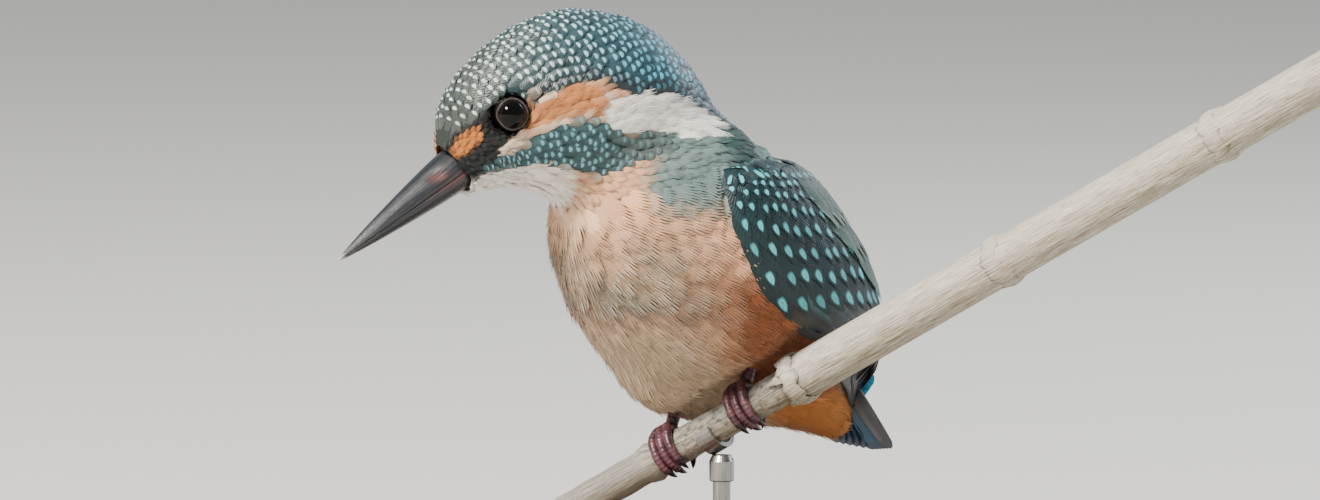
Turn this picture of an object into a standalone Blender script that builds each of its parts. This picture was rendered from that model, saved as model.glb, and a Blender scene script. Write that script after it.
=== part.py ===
"""A young common kingfisher, life size, perched on a cut length of dry reed over a plain display stand.

Metres, +Z up. The origin is the centre of the stand base's underside. The reed rises towards +X. The bird
faces -X and -Y. Sizes below are in millimetres, and the mesh helpers turn them into metres.
"""
import math

import bmesh
import bpy
from mathutils import Matrix, Vector

MM = 0.001
GAP = 0.35  # clearance between neighbouring solids

# --- Driving dimensions, in millimetres -------------------------------------------------------------------

BODY_HEADING = 45.0  # degrees the body is turned from -Y towards -X
HEAD_HEADING = 62.0
REED_YAW = 30.0  # degrees the reed is turned from +X towards -Y
REED_SLOPE = 29.0  # degrees the reed rises

GRIP = Vector((-2.9, -4.8, 31.1))  # point of the reed's centreline midway between the feet
STEM_RADIUS = 3.1
SHEATH_RADIUS = 4.2
REED_BELOW = 33.0  # length of reed on the low side of the grip
REED_ABOVE = 145.0
REED_NODES = (-12.2, 69.0, 118.0)  # the stem's joints, as distances along it from the grip
SHEATH_START = 21.5  # where the dry leaf sheath wraps the stem

HEAD_CENTRE = Vector((-25.5, -19.8, 90.6))
BILL_TIP = (47.2, -25.4)  # forward and up from the head's centre
BILL_ROOT = (21.0, -8.4)
EYE_PLACE = (18.0, -0.2)
EYE_RADIUS = 3.1
EYE_SPREAD = 8.8  # the eye's centre from the head's middle plane

FOOT_PLACES = {"right": -7.1, "left": 10.4}  # along the reed from the grip
TOE_RADIUS = 0.95
TOE_PITCH = 1.7
TARSUS_RADIUS = 1.25
TARSUS_LENGTH = 9.0

TAIL_ROOT = (-30.0, -7.5, 50.0)  # forward, left and height in the body's frame
TAIL_TIP = (-50.8, -8.0, 23.2)
TAIL_HALF_WIDTH = 7.0
TAIL_THICKNESS = 2.2

BASE_RADIUS = 52.0
BASE_HEIGHT = 6.0
BASE_BEVEL = 1.2
ROD_RADIUS = 1.6
ROD_PLACE = 1.4  # along the reed from the grip
CLIP_WIDTH = 3.4
CLIP_THICKNESS = 0.9

# Level slices of the trunk, from the neck to the tip of the undertail:
# height, centre forward and left of the grip, half depth fore and aft, half width.
TRUNK_SLICES = (
    (91.0, 10.5, 0.5, 4.0, 5.0),
    (87.0, 9.4, 0.5, 11.8, 12.6),
    (81.5, 8.6, 0.5, 18.6, 18.6),
    (75.9, 7.0, 0.0, 23.6, 21.8),
    (69.8, 5.0, -0.5, 27.4, 23.6),
    (60.3, -0.6, -1.5, 30.2, 24.8),
    (50.0, -6.8, -3.0, 29.3, 24.0),
    (44.8, -11.4, -4.8, 27.7, 22.0),
    (40.5, -14.9, -6.8, 27.2, 18.2),
    (36.8, -17.6, -7.9, 27.0, 14.6),
    (33.8, -20.4, -8.4, 25.4, 11.6),
    (31.2, -24.5, -7.8, 19.5, 9.8),
    (28.6, -35.5, -6.5, 8.6, 6.6),
    (25.8, -38.8, -6.0, 2.5, 2.5),
)

# Slices across the head, from the bill's root to the tip of the nape:
# forward and up from the head's centre, lean forward in degrees, half height, half width.
HEAD_SLICES = (
    (26.8, -12.3, 24.0, 3.9, 3.9),
    (25.2, -9.8, 28.0, 6.6, 5.8),
    (22.0, -6.2, 29.0, 9.8, 8.8),
    (17.0, -2.8, 21.0, 12.3, 11.2),
    (11.0, -0.7, 10.0, 15.2, 12.7),
    (4.1, 0.2, 1.5, 17.5, 13.7),
    (-4.4, 0.3, -1.5, 16.9, 14.0),
    (-11.8, -0.2, -4.0, 14.8, 13.3),
    (-17.6, -0.8, -10.0, 10.2, 11.0),
    (-22.2, -1.4, -17.0, 5.4, 7.6),
    (-26.4, -1.8, -20.0, 1.0, 1.5),
)

# The parting between head and neck, in the head's frame: a point and the parting's tilt in degrees.
NECK_CUT = (2.0, -15.0)
NECK_TILT = 24.0
NECK_LENGTH = 6.0

# The folded wing's two edges as angle round the body from the breast, and height, from shoulder to tip.
WING_FRONT_EDGE = ((72.0, 79.0), (69.0, 73.0), (70.0, 62.0), (76.0, 53.5), (95.0, 48.5), (128.0, 42.5), (160.0, 33.0))
WING_REAR_EDGE = ((118.0, 80.5), (140.0, 76.0), (152.0, 68.0), (158.0, 59.0), (161.0, 49.5), (163.5, 41.0), (166.0, 33.0))
WING_THICKNESS = 2.6
WING_EDGE_THICKNESS = 0.7

RING_SIDES = 28
TUBE_SIDES = 7
VOXEL = 2.0  # the grid on which head and trunk are blended into one form
BLEND_KEPT = 0.24  # share of the blend's faces that are kept


# --- Frames -----------------------------------------------------------------------------------------------

def heading(degrees):
    """The level direction that many degrees from -Y towards -X, and the direction to its left."""
    turn = math.radians(degrees)
    forward = Vector((-math.sin(turn), -math.cos(turn), 0.0))
    left = Vector((math.cos(turn), -math.sin(turn), 0.0))
    return forward, left


UP = Vector((0.0, 0.0, 1.0))
BODY_FORWARD, BODY_LEFT = heading(BODY_HEADING)
HEAD_FORWARD, HEAD_LEFT = heading(HEAD_HEADING)

REED_ALONG = Vector((
    math.cos(math.radians(REED_YAW)) * math.cos(math.radians(REED_SLOPE)),
    -math.sin(math.radians(REED_YAW)) * math.cos(math.radians(REED_SLOPE)),
    math.sin(math.radians(REED_SLOPE)),
))
REED_FRONT = REED_ALONG.cross(UP).normalized()
REED_TOP = REED_FRONT.cross(REED_ALONG)


def body_point(forward, left, height):
    return Vector((GRIP.x, GRIP.y, 0.0)) + forward * BODY_FORWARD + left * BODY_LEFT + height * UP


def head_point(forward, up, left=0.0):
    return HEAD_CENTRE + forward * HEAD_FORWARD + up * UP + left * HEAD_LEFT


def reed_point(along, angle=0.0, radius=0.0):
    """A point round the reed: the angle runs from its top over its front, in degrees."""
    turn = math.radians(angle)
    return GRIP + along * REED_ALONG + radius * (math.cos(turn) * REED_TOP + math.sin(turn) * REED_FRONT)


def smooth_row(rows, place):
    """Row number place, a fraction allowed, of a table read as a smooth curve through its rows."""
    last = len(rows) - 1
    index = min(int(place), last - 1)
    share = place - index
    before, start, end, after = (rows[min(max(i, 0), last)] for i in range(index - 1, index + 3))
    return [
        0.5 * (2 * b + (c - a) * share + (2 * a - 5 * b + 4 * c - d) * share ** 2 + (3 * b - a - 3 * c + d) * share ** 3)
        for a, b, c, d in zip(before, start, end, after)
    ]


def smooth_rows(rows, count):
    return [smooth_row(rows, i * (len(rows) - 1) / (count - 1)) for i in range(count)]


# --- Mesh helpers -----------------------------------------------------------------------------------------

def material(name, colour, roughness, metallic=0.0):
    made = bpy.data.materials.new(name)
    made.use_nodes = True
    shader = made.node_tree.nodes["Principled BSDF"]
    shader.inputs["Base Color"].default_value = (*colour, 1.0)
    shader.inputs["Roughness"].default_value = roughness
    shader.inputs["Metallic"].default_value = metallic
    return made


def finish_object(name, bm, look=None):
    """Turns a bmesh in millimetres into a smooth-shaded object in metres."""
    bm.normal_update()
    bmesh.ops.recalc_face_normals(bm, faces=bm.faces)
    bmesh.ops.scale(bm, vec=(MM, MM, MM), verts=bm.verts)
    mesh = bpy.data.meshes.new(name)
    bm.to_mesh(mesh)
    bm.free()
    mesh.shade_smooth()
    made = bpy.data.objects.new(name, mesh)
    bpy.context.scene.collection.objects.link(made)
    if look:
        mesh.materials.append(look)
    else:
        made.hide_render = True
        made.display_type = "WIRE"
    return made


def loft(name, rings, look=None, sides=RING_SIDES):
    """A closed skin over rings, each a centre, a vector to its side, one to its top and one to its bottom."""
    bm = bmesh.new()
    loops = []
    for centre, side, top, bottom in rings:
        made = bmesh.ops.create_circle(bm, cap_ends=False, segments=sides, radius=1.0)
        for vert in made["verts"]:
            across, upward = vert.co.x, vert.co.y
            vert.co = centre + across * side + (upward * top if upward > 0 else -upward * bottom)
        loops.append(list({edge for vert in made["verts"] for edge in vert.link_edges}))
    for one, other in zip(loops, loops[1:]):
        bmesh.ops.bridge_loops(bm, edges=one + other)
    for end in (loops[0], loops[-1]):
        bmesh.ops.contextual_create(bm, geom=end)
    bmesh.ops.triangulate(bm, faces=[face for face in bm.faces if len(face.verts) > 4])
    return finish_object(name, bm, look)


def tube_rings(points, radii):
    """Round rings along a line of points."""
    rings = []
    for i, (point, radius) in enumerate(zip(points, radii)):
        along = (points[min(i + 1, len(points) - 1)] - points[max(i - 1, 0)]).normalized()
        side = along.cross(REED_ALONG)
        side = (side if side.length > 0.2 else along.cross(UP)).normalized()
        top = side.cross(along) * radius
        rings.append((point, side * radius, top, -top))
    return rings


def boolean(target, operation, cutter):
    modifier = target.modifiers.new(f"{operation.lower()}_{cutter.name}", "BOOLEAN")
    modifier.operation = operation
    modifier.solver = "EXACT"
    modifier.object = cutter


# --- The bird's forms -------------------------------------------------------------------------------------

def trunk_form(name):
    rings = []
    for height, forward, left, depth, width in smooth_rows(TRUNK_SLICES, 25):
        ahead = BODY_FORWARD * depth
        rings.append((body_point(forward, left, height), BODY_LEFT * width, ahead, -ahead))
    return loft(name, rings)


def head_form(name):
    rings = []
    for forward, up, lean, half_height, half_width in smooth_rows(HEAD_SLICES, 21):
        turn = math.radians(lean)
        top = (math.cos(turn) * UP + math.sin(turn) * HEAD_FORWARD) * half_height
        rings.append((head_point(forward, up), HEAD_LEFT * half_width, top, -top))
    return loft(name, rings)


def body_form(name):
    """Head and trunk grown together, with the join between them smoothed."""
    body = trunk_form(name)
    boolean(body, "UNION", head_form("head_form"))
    blend = body.modifiers.new("blend", "REMESH")
    blend.mode = "VOXEL"
    blend.voxel_size = VOXEL * MM
    soften = body.modifiers.new("soften", "SMOOTH")
    soften.factor = 0.5
    soften.iterations = 6
    thin = body.modifiers.new("thin", "DECIMATE")
    thin.ratio = BLEND_KEPT
    return body


def zone(name, low, high, look):
    """A block across the neck, from low to high above the parting, that picks out one part of the body."""
    reach = 120.0
    tilt = math.radians(NECK_TILT)
    normal = math.cos(tilt) * UP + math.sin(tilt) * HEAD_FORWARD
    ahead = math.cos(tilt) * HEAD_FORWARD - math.sin(tilt) * UP
    centre = head_point(*NECK_CUT) + normal * (low + high) / 2
    bm = bmesh.new()
    bmesh.ops.create_cube(bm, size=2.0)
    for vert in bm.verts:
        across, along, upward = vert.co
        vert.co = centre + HEAD_LEFT * across * reach + ahead * along * reach + normal * upward * (high - low) / 2
    return finish_object(name, bm, look)


def trunk_surface(angle, height):
    """A point of the trunk's skin and its outward normal, by angle from the breast and height."""
    def at(degrees, level):
        place = 0.0
        while place < len(TRUNK_SLICES) - 2 and TRUNK_SLICES[int(place) + 1][0] > level:
            place += 1.0
        low, high = place, place + 1.0
        for _ in range(24):
            middle = (low + high) / 2
            if smooth_row(TRUNK_SLICES, middle)[0] > level:
                low = middle
            else:
                high = middle
        _, forward, left, depth, width = smooth_row(TRUNK_SLICES, low)
        turn = math.radians(degrees)
        return body_point(forward + depth * math.cos(turn), left + width * math.sin(turn), level)

    step = 0.5
    point = at(angle, height)
    across = at(angle + step, height) - at(angle - step, height)
    upward = at(angle, height + step) - at(angle, height - step)
    return point, across.cross(upward).normalized()


def wing(name, mirror, look):
    """A folded wing laid on the trunk: a grid wrapped round it, thick in the middle and thin at its edges."""
    rows, columns = 16, 9
    bm = bmesh.new()
    made = bmesh.ops.create_grid(bm, x_segments=rows - 1, y_segments=columns - 1, size=1.0)
    inner = list(made["verts"])
    layer = {vert: 0.0 for vert in inner}
    places = {vert: ((vert.co.x + 1) / 2, (vert.co.y + 1) / 2) for vert in inner}
    raised = bmesh.ops.extrude_face_region(bm, geom=bm.faces[:], use_keep_orig=True)
    for vert in [item for item in raised["geom"] if isinstance(item, bmesh.types.BMVert)]:
        layer[vert] = 1.0
        places[vert] = ((vert.co.x + 1) / 2, (vert.co.y + 1) / 2)
    for vert in bm.verts:
        along, across = places[vert]
        front = smooth_row(WING_FRONT_EDGE, along * (len(WING_FRONT_EDGE) - 1))
        rear = smooth_row(WING_REAR_EDGE, along * (len(WING_REAR_EDGE) - 1))
        angle = front[0] + (rear[0] - front[0]) * across
        height = front[1] + (rear[1] - front[1]) * across
        point, normal = trunk_surface(angle * mirror, height)
        fullness = math.sqrt(max(0.0, 1 - (2 * across - 1) ** 2)) * math.sqrt(max(0.0, 1 - (1.6 * along - 0.6) ** 4))
        thickness = WING_EDGE_THICKNESS + (WING_THICKNESS - WING_EDGE_THICKNESS) * fullness
        vert.co = point + normal * (GAP + thickness * layer[vert])
    return finish_object(name, bm, look)


def tail_form(name, look=None, grow=0.0):
    """The closed fan of tail feathers: a flat blade that widens a little to a rounded end."""
    root, tip = body_point(*TAIL_ROOT), body_point(*TAIL_TIP)
    along = (tip - root).normalized()
    above = BODY_LEFT.cross(along).normalized()
    rings = []
    for share, width in ((0.0, 0.62), (0.3, 0.75), (0.6, 0.88), (0.85, 0.95), (0.95, 0.8), (1.0, 0.45)):
        side = BODY_LEFT * (TAIL_HALF_WIDTH * width + grow)
        thick = above * (TAIL_THICKNESS / 2 * (1.1 - 0.4 * share) + grow)
        rings.append((root.lerp(tip, share) + along * grow * (2 * share - 1), side, thick, -thick))
    return loft(name, rings, look, sides=16)


def bill_half(name, upper, look=None, grow=0.0):
    """One mandible: round outside, flat where the two close, tapering to the tip."""
    root, tip = head_point(*BILL_ROOT), head_point(*BILL_TIP)
    along = (tip - root).normalized()
    above = HEAD_LEFT.cross(along).normalized()
    if above.z < 0:
        above = -above
    facing = above if upper else -above
    rings = []
    for share, height, half_width in (
        (0.0, 4.4, 4.3), (0.2, 4.1, 3.9), (0.4, 3.4, 3.1), (0.6, 2.5, 2.3), (0.8, 1.5, 1.4), (0.93, 0.7, 0.7), (1.0, 0.25, 0.3)
    ):
        depth = height if upper else height * 0.86
        centre = root.lerp(tip, share) + facing * (GAP / 2 - grow) + along * grow * (2 * share - 1)
        rings.append((centre, HEAD_LEFT * (half_width + grow), facing * (depth + 2 * grow), facing * 0.02 - facing * grow * 0.1))
    return loft(name, rings, look, sides=20)


def ball(name, centre, radius, look=None):
    bm = bmesh.new()
    bmesh.ops.create_uvsphere(bm, u_segments=16, v_segments=10, radius=radius, matrix=Matrix.Translation(centre))
    return finish_object(name, bm, look)


def toe_points(place, sway, start, end, count=7):
    """The line of a toe that grips the reed: it leaves the ankle at start and ends at end degrees round the reed."""
    radius = STEM_RADIUS + TOE_RADIUS + GAP
    points = []
    for i in range(count):
        share = i / (count - 1)
        spread = sway * min(1.0, share * 2.5)
        points.append(reed_point(place + spread, start + (end - start) * share, radius))
    return points


FRONT_TOES = {"inner": (-1.0, 128.0), "middle": (0.0, 150.0), "outer": (1.0, 140.0)}
ANKLE_ANGLE = -22.0


def foot(side, look, claw_look):
    """Four toes round the reed, joined at the ankle, with a claw on each."""
    place = FOOT_PLACES[side]
    outward = 1.0 if side == "left" else -1.0
    toes = {
        name: (TOE_PITCH * order * outward, ANKLE_ANGLE, end) for name, (order, end) in FRONT_TOES.items()
    }
    toes["hind"] = (-0.6 * outward, ANKLE_ANGLE, -122.0)
    claw_reach = 34.0
    foot_object = None
    for name, (sway, start, end) in toes.items():
        points = toe_points(place, sway, start, end)
        radii = [TOE_RADIUS * (1.0 - 0.22 * i / 6) for i in range(7)]
        is_first = foot_object is None
        toe = loft(f"foot_{side}" if is_first else f"toe_form_{side}_{name}", tube_rings(points, radii),
                   look if is_first else None, sides=TUBE_SIDES)
        if is_first:
            foot_object = toe
        else:
            boolean(foot_object, "UNION", toe)
        way = math.copysign(1.0, end - start)
        claw_points = [
            reed_point(place + sway, end + way * (claw_reach * i / 5 + 5.0), STEM_RADIUS + TOE_RADIUS + GAP + 0.1 * i)
            for i in range(6)
        ]
        loft(f"claw_{side}_{name}", tube_rings(claw_points, [0.62, 0.6, 0.5, 0.38, 0.24, 0.08]), claw_look, sides=TUBE_SIDES)
    ankle = reed_point(place, ANKLE_ANGLE, STEM_RADIUS + TOE_RADIUS + GAP)
    boolean(foot_object, "UNION", ball(f"ankle_form_{side}", ankle, TOE_RADIUS * 1.35))


def tarsus_form(side, name, look=None, grow=0.0):
    ankle = reed_point(FOOT_PLACES[side], ANKLE_ANGLE, STEM_RADIUS + TOE_RADIUS + GAP)
    lean = (UP * 0.9 - BODY_FORWARD * 0.42).normalized()
    start = TOE_RADIUS * 1.35 + GAP
    reach = start + TARSUS_LENGTH + grow
    points = [ankle + lean * (start + (reach - start) * share) for share in (0.0, 0.25, 0.5, 0.75, 1.0)]
    if grow:
        points[0] = ankle
    radii = [TARSUS_RADIUS * width + grow for width in (0.9, 0.85, 0.95, 1.1, 1.2)]
    return loft(name, tube_rings(points, radii), look, sides=TUBE_SIDES)


# --- Perch and stand --------------------------------------------------------------------------------------

def reed_radius(along):
    """The stem is bare under the bird, wrapped in its dry sheath above, and swells at each joint."""
    wrapped = min(1.0, max(0.0, (along - SHEATH_START) / 2.5))
    radius = STEM_RADIUS + (SHEATH_RADIUS - STEM_RADIUS) * wrapped
    swell = max(math.exp(-((along - node) / 1.3) ** 2) for node in REED_NODES)
    return radius + 0.65 * swell


def reed_form(name, look=None, grow=0.0):
    points, radii = [], []
    count = 49
    for i in range(count):
        along = -REED_BELOW + (REED_BELOW + REED_ABOVE) * i / (count - 1)
        points.append(reed_point(along))
        radii.append(reed_radius(along) + grow)
    rings = [(point, REED_FRONT * radius, REED_TOP * radius, -REED_TOP * radius) for point, radius in zip(points, radii)]
    return loft(name, rings, look, sides=14)


def stand(look, metal):
    bm = bmesh.new()
    bmesh.ops.create_cone(
        bm, cap_ends=True, segments=48, radius1=BASE_RADIUS, radius2=BASE_RADIUS, depth=BASE_HEIGHT,
        matrix=Matrix.Translation((0.0, 0.0, BASE_HEIGHT / 2)),
    )
    rim = [edge for edge in bm.edges if all(vert.co.z > BASE_HEIGHT * 0.9 for vert in edge.verts)]
    bmesh.ops.bevel(bm, geom=rim, offset=BASE_BEVEL, segments=3, profile=0.5, affect="EDGES", material=-1)
    finish_object("stand_base", bm, look)

    inside = STEM_RADIUS + GAP
    outside = inside + CLIP_THICKNESS
    saddle = reed_point(ROD_PLACE, 180.0, outside)
    rod_low = BASE_HEIGHT + GAP
    rod_top = saddle.z - ROD_RADIUS * math.tan(math.radians(REED_SLOPE)) - GAP
    bm = bmesh.new()
    bmesh.ops.create_cone(
        bm, cap_ends=True, segments=20, radius1=ROD_RADIUS, radius2=ROD_RADIUS, depth=rod_top - rod_low,
        matrix=Matrix.Translation((saddle.x, saddle.y, (rod_top + rod_low) / 2)),
    )
    finish_object("stand_rod", bm, metal)

    steps = 17
    bm = bmesh.new()
    profile = []
    for i in range(steps):
        angle = 90.0 + 180.0 * i / (steps - 1)
        near, far = (reed_point(ROD_PLACE - CLIP_WIDTH / 2, angle, radius) for radius in (inside, outside))
        profile.append((bm.verts.new(near), bm.verts.new(far)))
    faces = [
        bm.faces.new((one[0], one[1], other[1], other[0])) for one, other in zip(profile, profile[1:])
    ]
    swept = bmesh.ops.extrude_face_region(bm, geom=faces, use_keep_orig=True)
    bmesh.ops.translate(
        bm, vec=REED_ALONG * CLIP_WIDTH,
        verts=[item for item in swept["geom"] if isinstance(item, bmesh.types.BMVert)],
    )
    finish_object("stand_clip", bm, metal)


# --- Assembly ---------------------------------------------------------------------------------------------

def build():
    for old in list(bpy.data.objects):
        bpy.data.objects.remove(old)

    crown = material("crown_plumage", (0.05, 0.16, 0.19), 0.6)
    breast = material("breast_plumage", (0.55, 0.30, 0.16), 0.8)
    cheek = material("neck_plumage", (0.10, 0.22, 0.26), 0.7)
    wing_look = material("wing_plumage", (0.02, 0.10, 0.12), 0.5)
    horn = material("bill_horn", (0.03, 0.035, 0.05), 0.35)
    eye_look = material("eye", (0.01, 0.008, 0.008), 0.05)
    skin = material("foot_skin", (0.12, 0.04, 0.05), 0.5)
    claw = material("claw_horn", (0.02, 0.015, 0.015), 0.4)
    straw = material("dry_reed", (0.66, 0.62, 0.52), 0.6)
    wood = material("stand_wood", (0.05, 0.045, 0.04), 0.5)
    metal = material("stand_steel", (0.45, 0.44, 0.42), 0.35, 1.0)

    body = body_form("body_form")
    reach = 200.0
    spans = {
        "head": (GAP / 2, reach, crown),
        "neck": (-NECK_LENGTH + GAP / 2, -GAP / 2, cheek),
        "trunk": (-reach, -NECK_LENGTH - GAP / 2, breast),
    }
    parts = {name: zone(name, low, high, look) for name, (low, high, look) in spans.items()}
    for part in parts.values():
        boolean(part, "INTERSECT", body)
    head, trunk = parts["head"], parts["trunk"]

    tail_form("tail", wing_look)
    tail_socket = tail_form("tail_socket", grow=GAP)
    boolean(trunk, "DIFFERENCE", tail_socket)
    for side in FOOT_PLACES:
        tarsus_form(side, f"leg_{side}", skin)
        boolean(trunk, "DIFFERENCE", tarsus_form(side, f"leg_socket_{side}", grow=GAP))
        foot(side, skin, claw)
    boolean(trunk, "DIFFERENCE", reed_form("reed_clearance", grow=2 * TOE_RADIUS + 2.5 * GAP))

    for upper, name in ((True, "bill_upper"), (False, "bill_lower")):
        bill_half(name, upper, horn)
        boolean(head, "DIFFERENCE", bill_half(f"{name}_socket", upper, grow=GAP))
    for side, mirror in (("left", 1.0), ("right", -1.0)):
        centre = head_point(*EYE_PLACE, left=EYE_SPREAD * mirror)
        ball(f"eye_{side}", centre, EYE_RADIUS, eye_look)
        boolean(head, "DIFFERENCE", ball(f"eye_socket_{side}", centre, EYE_RADIUS + GAP))
        boolean(wing(f"wing_{side}", mirror, wing_look), "DIFFERENCE", tail_socket)

    reed_form("perch_reed", straw)
    stand(wood, metal)


build()
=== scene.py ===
"""Dresses the kingfisher: skin, feathers, bill, eyes, feet, reed perch, stand, and the plain stage."""
import math

import bmesh
import bpy
import numpy as np
from bpy.props import FloatProperty, IntProperty, PointerProperty
from mathutils import Matrix, Vector
from mathutils.bvhtree import BVHTree
from mathutils.kdtree import KDTree


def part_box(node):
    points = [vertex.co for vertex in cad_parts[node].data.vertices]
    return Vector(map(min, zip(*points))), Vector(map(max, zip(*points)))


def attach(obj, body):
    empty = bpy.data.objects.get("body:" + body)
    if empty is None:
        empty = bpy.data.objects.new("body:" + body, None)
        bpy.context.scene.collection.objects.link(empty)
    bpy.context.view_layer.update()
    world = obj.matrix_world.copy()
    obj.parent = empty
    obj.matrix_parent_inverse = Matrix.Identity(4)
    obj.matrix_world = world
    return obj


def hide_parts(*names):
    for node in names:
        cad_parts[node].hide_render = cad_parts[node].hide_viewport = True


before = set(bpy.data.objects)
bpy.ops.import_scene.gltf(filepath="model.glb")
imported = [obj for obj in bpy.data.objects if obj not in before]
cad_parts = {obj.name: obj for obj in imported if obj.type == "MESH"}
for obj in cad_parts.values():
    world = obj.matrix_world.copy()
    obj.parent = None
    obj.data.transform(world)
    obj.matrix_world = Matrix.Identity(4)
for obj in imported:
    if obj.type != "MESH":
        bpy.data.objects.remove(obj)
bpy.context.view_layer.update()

bl_info = {
    "name": "Kingfisher on a reed",
    "version": (1, 0, 0),
    "blender": (4, 5, 0),
    "location": "View3D > Sidebar > Kingfisher",
    "description": "Builds the skin, feathers, bill, eyes, feet, perch and stand of a young kingfisher",
    "category": "Object",
}

MM = 0.001

# --- The pose, as the solids have it, in millimetres -------------------------------------------------------

GRIP = np.array((-2.9, -4.8, 31.1))
HEAD_CENTRE = np.array((-25.5, -19.8, 90.6))
BODY_HEADING = math.radians(45.0)
HEAD_HEADING = math.radians(62.0)
REED_YAW = math.radians(30.0)
REED_SLOPE = math.radians(29.0)
BILL_ROOT = (21.0, -8.4)
BILL_TIP = (47.2, -25.4)
BILL_START = (26.4, -11.9)
EYE_PLACE = (18.0, -0.2)
EYE_SPREAD = 8.8
TAIL_ROOT = (-30.0, -7.5, 50.0)
TAIL_TIP = (-50.8, -8.0, 23.2)
STEM_RADIUS = 3.1
SHEATH_RADIUS = 4.2
SHEATH_START = 21.5
REED_BELOW = 33.0
REED_ABOVE = 145.0
REED_NODES = (-12.2, 69.0, 118.0)
FOOT_PLACES = {"right": -7.1, "left": 10.4}
TOE_RADIUS = 0.95
TOE_PITCH = 1.7
ANKLE_ANGLE = -22.0
CLEAR = 0.35

# Height and depth count this much as up on the side of the head, which is looked at from 5 degrees above.
SIDE_HEIGHT, SIDE_DEPTH = 0.996, 0.087

UP = np.array((0.0, 0.0, 1.0))
BODY_FORWARD = np.array((-math.sin(BODY_HEADING), -math.cos(BODY_HEADING), 0.0))
BODY_LEFT = np.array((math.cos(BODY_HEADING), -math.sin(BODY_HEADING), 0.0))
HEAD_FORWARD = np.array((-math.sin(HEAD_HEADING), -math.cos(HEAD_HEADING), 0.0))
HEAD_LEFT = np.array((math.cos(HEAD_HEADING), -math.sin(HEAD_HEADING), 0.0))
REED_ALONG = np.array((
    math.cos(REED_YAW) * math.cos(REED_SLOPE),
    -math.sin(REED_YAW) * math.cos(REED_SLOPE),
    math.sin(REED_SLOPE),
))
REED_FRONT = np.cross(REED_ALONG, UP) / np.linalg.norm(np.cross(REED_ALONG, UP))
REED_TOP = np.cross(REED_FRONT, REED_ALONG)

# The trunk's middle line: height, and its centre forward and left of the grip.
TRUNK_LINE = np.array((
    (26.0, -39.0, -6.0), (31.0, -25.0, -7.8), (36.8, -17.6, -7.9), (44.8, -11.4, -4.8), (50.0, -6.8, -3.0),
    (60.3, -0.6, -1.5), (69.8, 5.0, -0.5), (81.5, 8.6, 0.5), (91.0, 10.5, 0.5),
))

# The folded wing's two edges: angle round the trunk from the breast and height, from shoulder to tip.
WING_FRONT = np.array(
    ((72.0, 79.0), (69.0, 73.0), (70.0, 62.0), (76.0, 53.5), (95.0, 48.5), (128.0, 42.5), (160.0, 33.0)))
WING_REAR = np.array(
    ((118.0, 80.5), (140.0, 76.0), (152.0, 68.0), (158.0, 59.0), (161.0, 49.5), (163.5, 41.0), (166.0, 33.0)))

# --- Head markings ------------------------------------------------------------------------------------------
# Outlines on the side of the head, in millimetres back and up from the middle of the eye.

CAP = (
    (-22.0, -8.0), (-12.2, -6.9), (-9.9, -3.9), (-6.6, -1.9), (-4.3, 0.1), (-2.0, 2.1), (0.0, 3.3),
    (2.6, 2.6), (4.2, 1.3), (6.6, 3.1), (10.6, 4.6), (13.2, 5.1), (16.4, 4.7), (19.8, 3.3), (24.8, 3.5),
    (29.1, 3.2), (32.4, 2.1), (37.5, -0.6), (44.0, 8.0), (20.0, 30.0), (-20.0, 25.0),
)
CAP_RIM = (
    (2.6, 3.2), (6.6, 4.2), (10.6, 5.6), (16.4, 5.4), (19.8, 4.4), (29.1, 4.4), (34.0, 2.6),
)
EAR = (
    (-2.4, -7.5), (-2.3, -6.5), (0.0, -4.6), (1.6, -2.9), (2.6, -1.1), (4.0, 0.9), (6.6, 3.0), (10.6, 4.4),
    (13.2, 4.9), (16.2, 4.5), (15.4, 1.9), (14.5, -0.6), (12.9, -1.5), (9.9, -1.9), (6.6, -2.3), (5.3, -3.2),
    (2.6, -4.9), (0.0, -6.9),
)
NECK_PATCH = (
    (15.5, 2.5), (19.8, 3.1), (24.8, 3.3), (29.1, 2.9), (32.2, 1.7), (36.0, -1.7), (33.0, -3.3), (29.4, -4.2),
    (26.4, -3.0), (23.1, -2.7), (19.8, -3.3), (15.8, -2.3), (14.5, -1.1), (15.8, 0.6),
)
MALAR = (
    (-5.0, -9.4), (-3.3, -8.4), (0.0, -7.0), (2.6, -5.0), (5.3, -3.4), (7.3, -2.4), (10.6, -2.1),
    (14.2, -1.7), (16.5, -2.6), (19.8, -3.7), (23.1, -3.2), (27.5, -4.2), (26.4, -6.2), (23.1, -7.4),
    (20.5, -8.6), (17.2, -9.8), (13.9, -10.5), (9.9, -9.7), (6.6, -9.35), (2.6, -9.35), (-0.7, -9.5),
    (-5.0, -10.2),
)
THROAT = (
    (-14.0, -15.0), (-8.9, -13.6), (-5.0, -10.6), (-0.7, -9.6), (2.6, -9.4), (7.9, -9.6), (9.2, -11.2),
    (8.6, -13.4), (7.3, -15.6), (5.0, -17.5), (0.0, -21.0), (-14.0, -22.0),
)
LORE = (
    (-10.4, -5.9), (-8.9, -4.1), (-6.1, -2.8), (-5.0, -3.7), (-5.5, -5.0), (-7.6, -6.9), (-9.6, -7.7),
    (-10.5, -7.2),
)
EYE_PATCH = ((-3.4, -1.6), (-1.0, 0.0), (1.2, 0.4))

# --- Colours ------------------------------------------------------------------------------------------------

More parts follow.
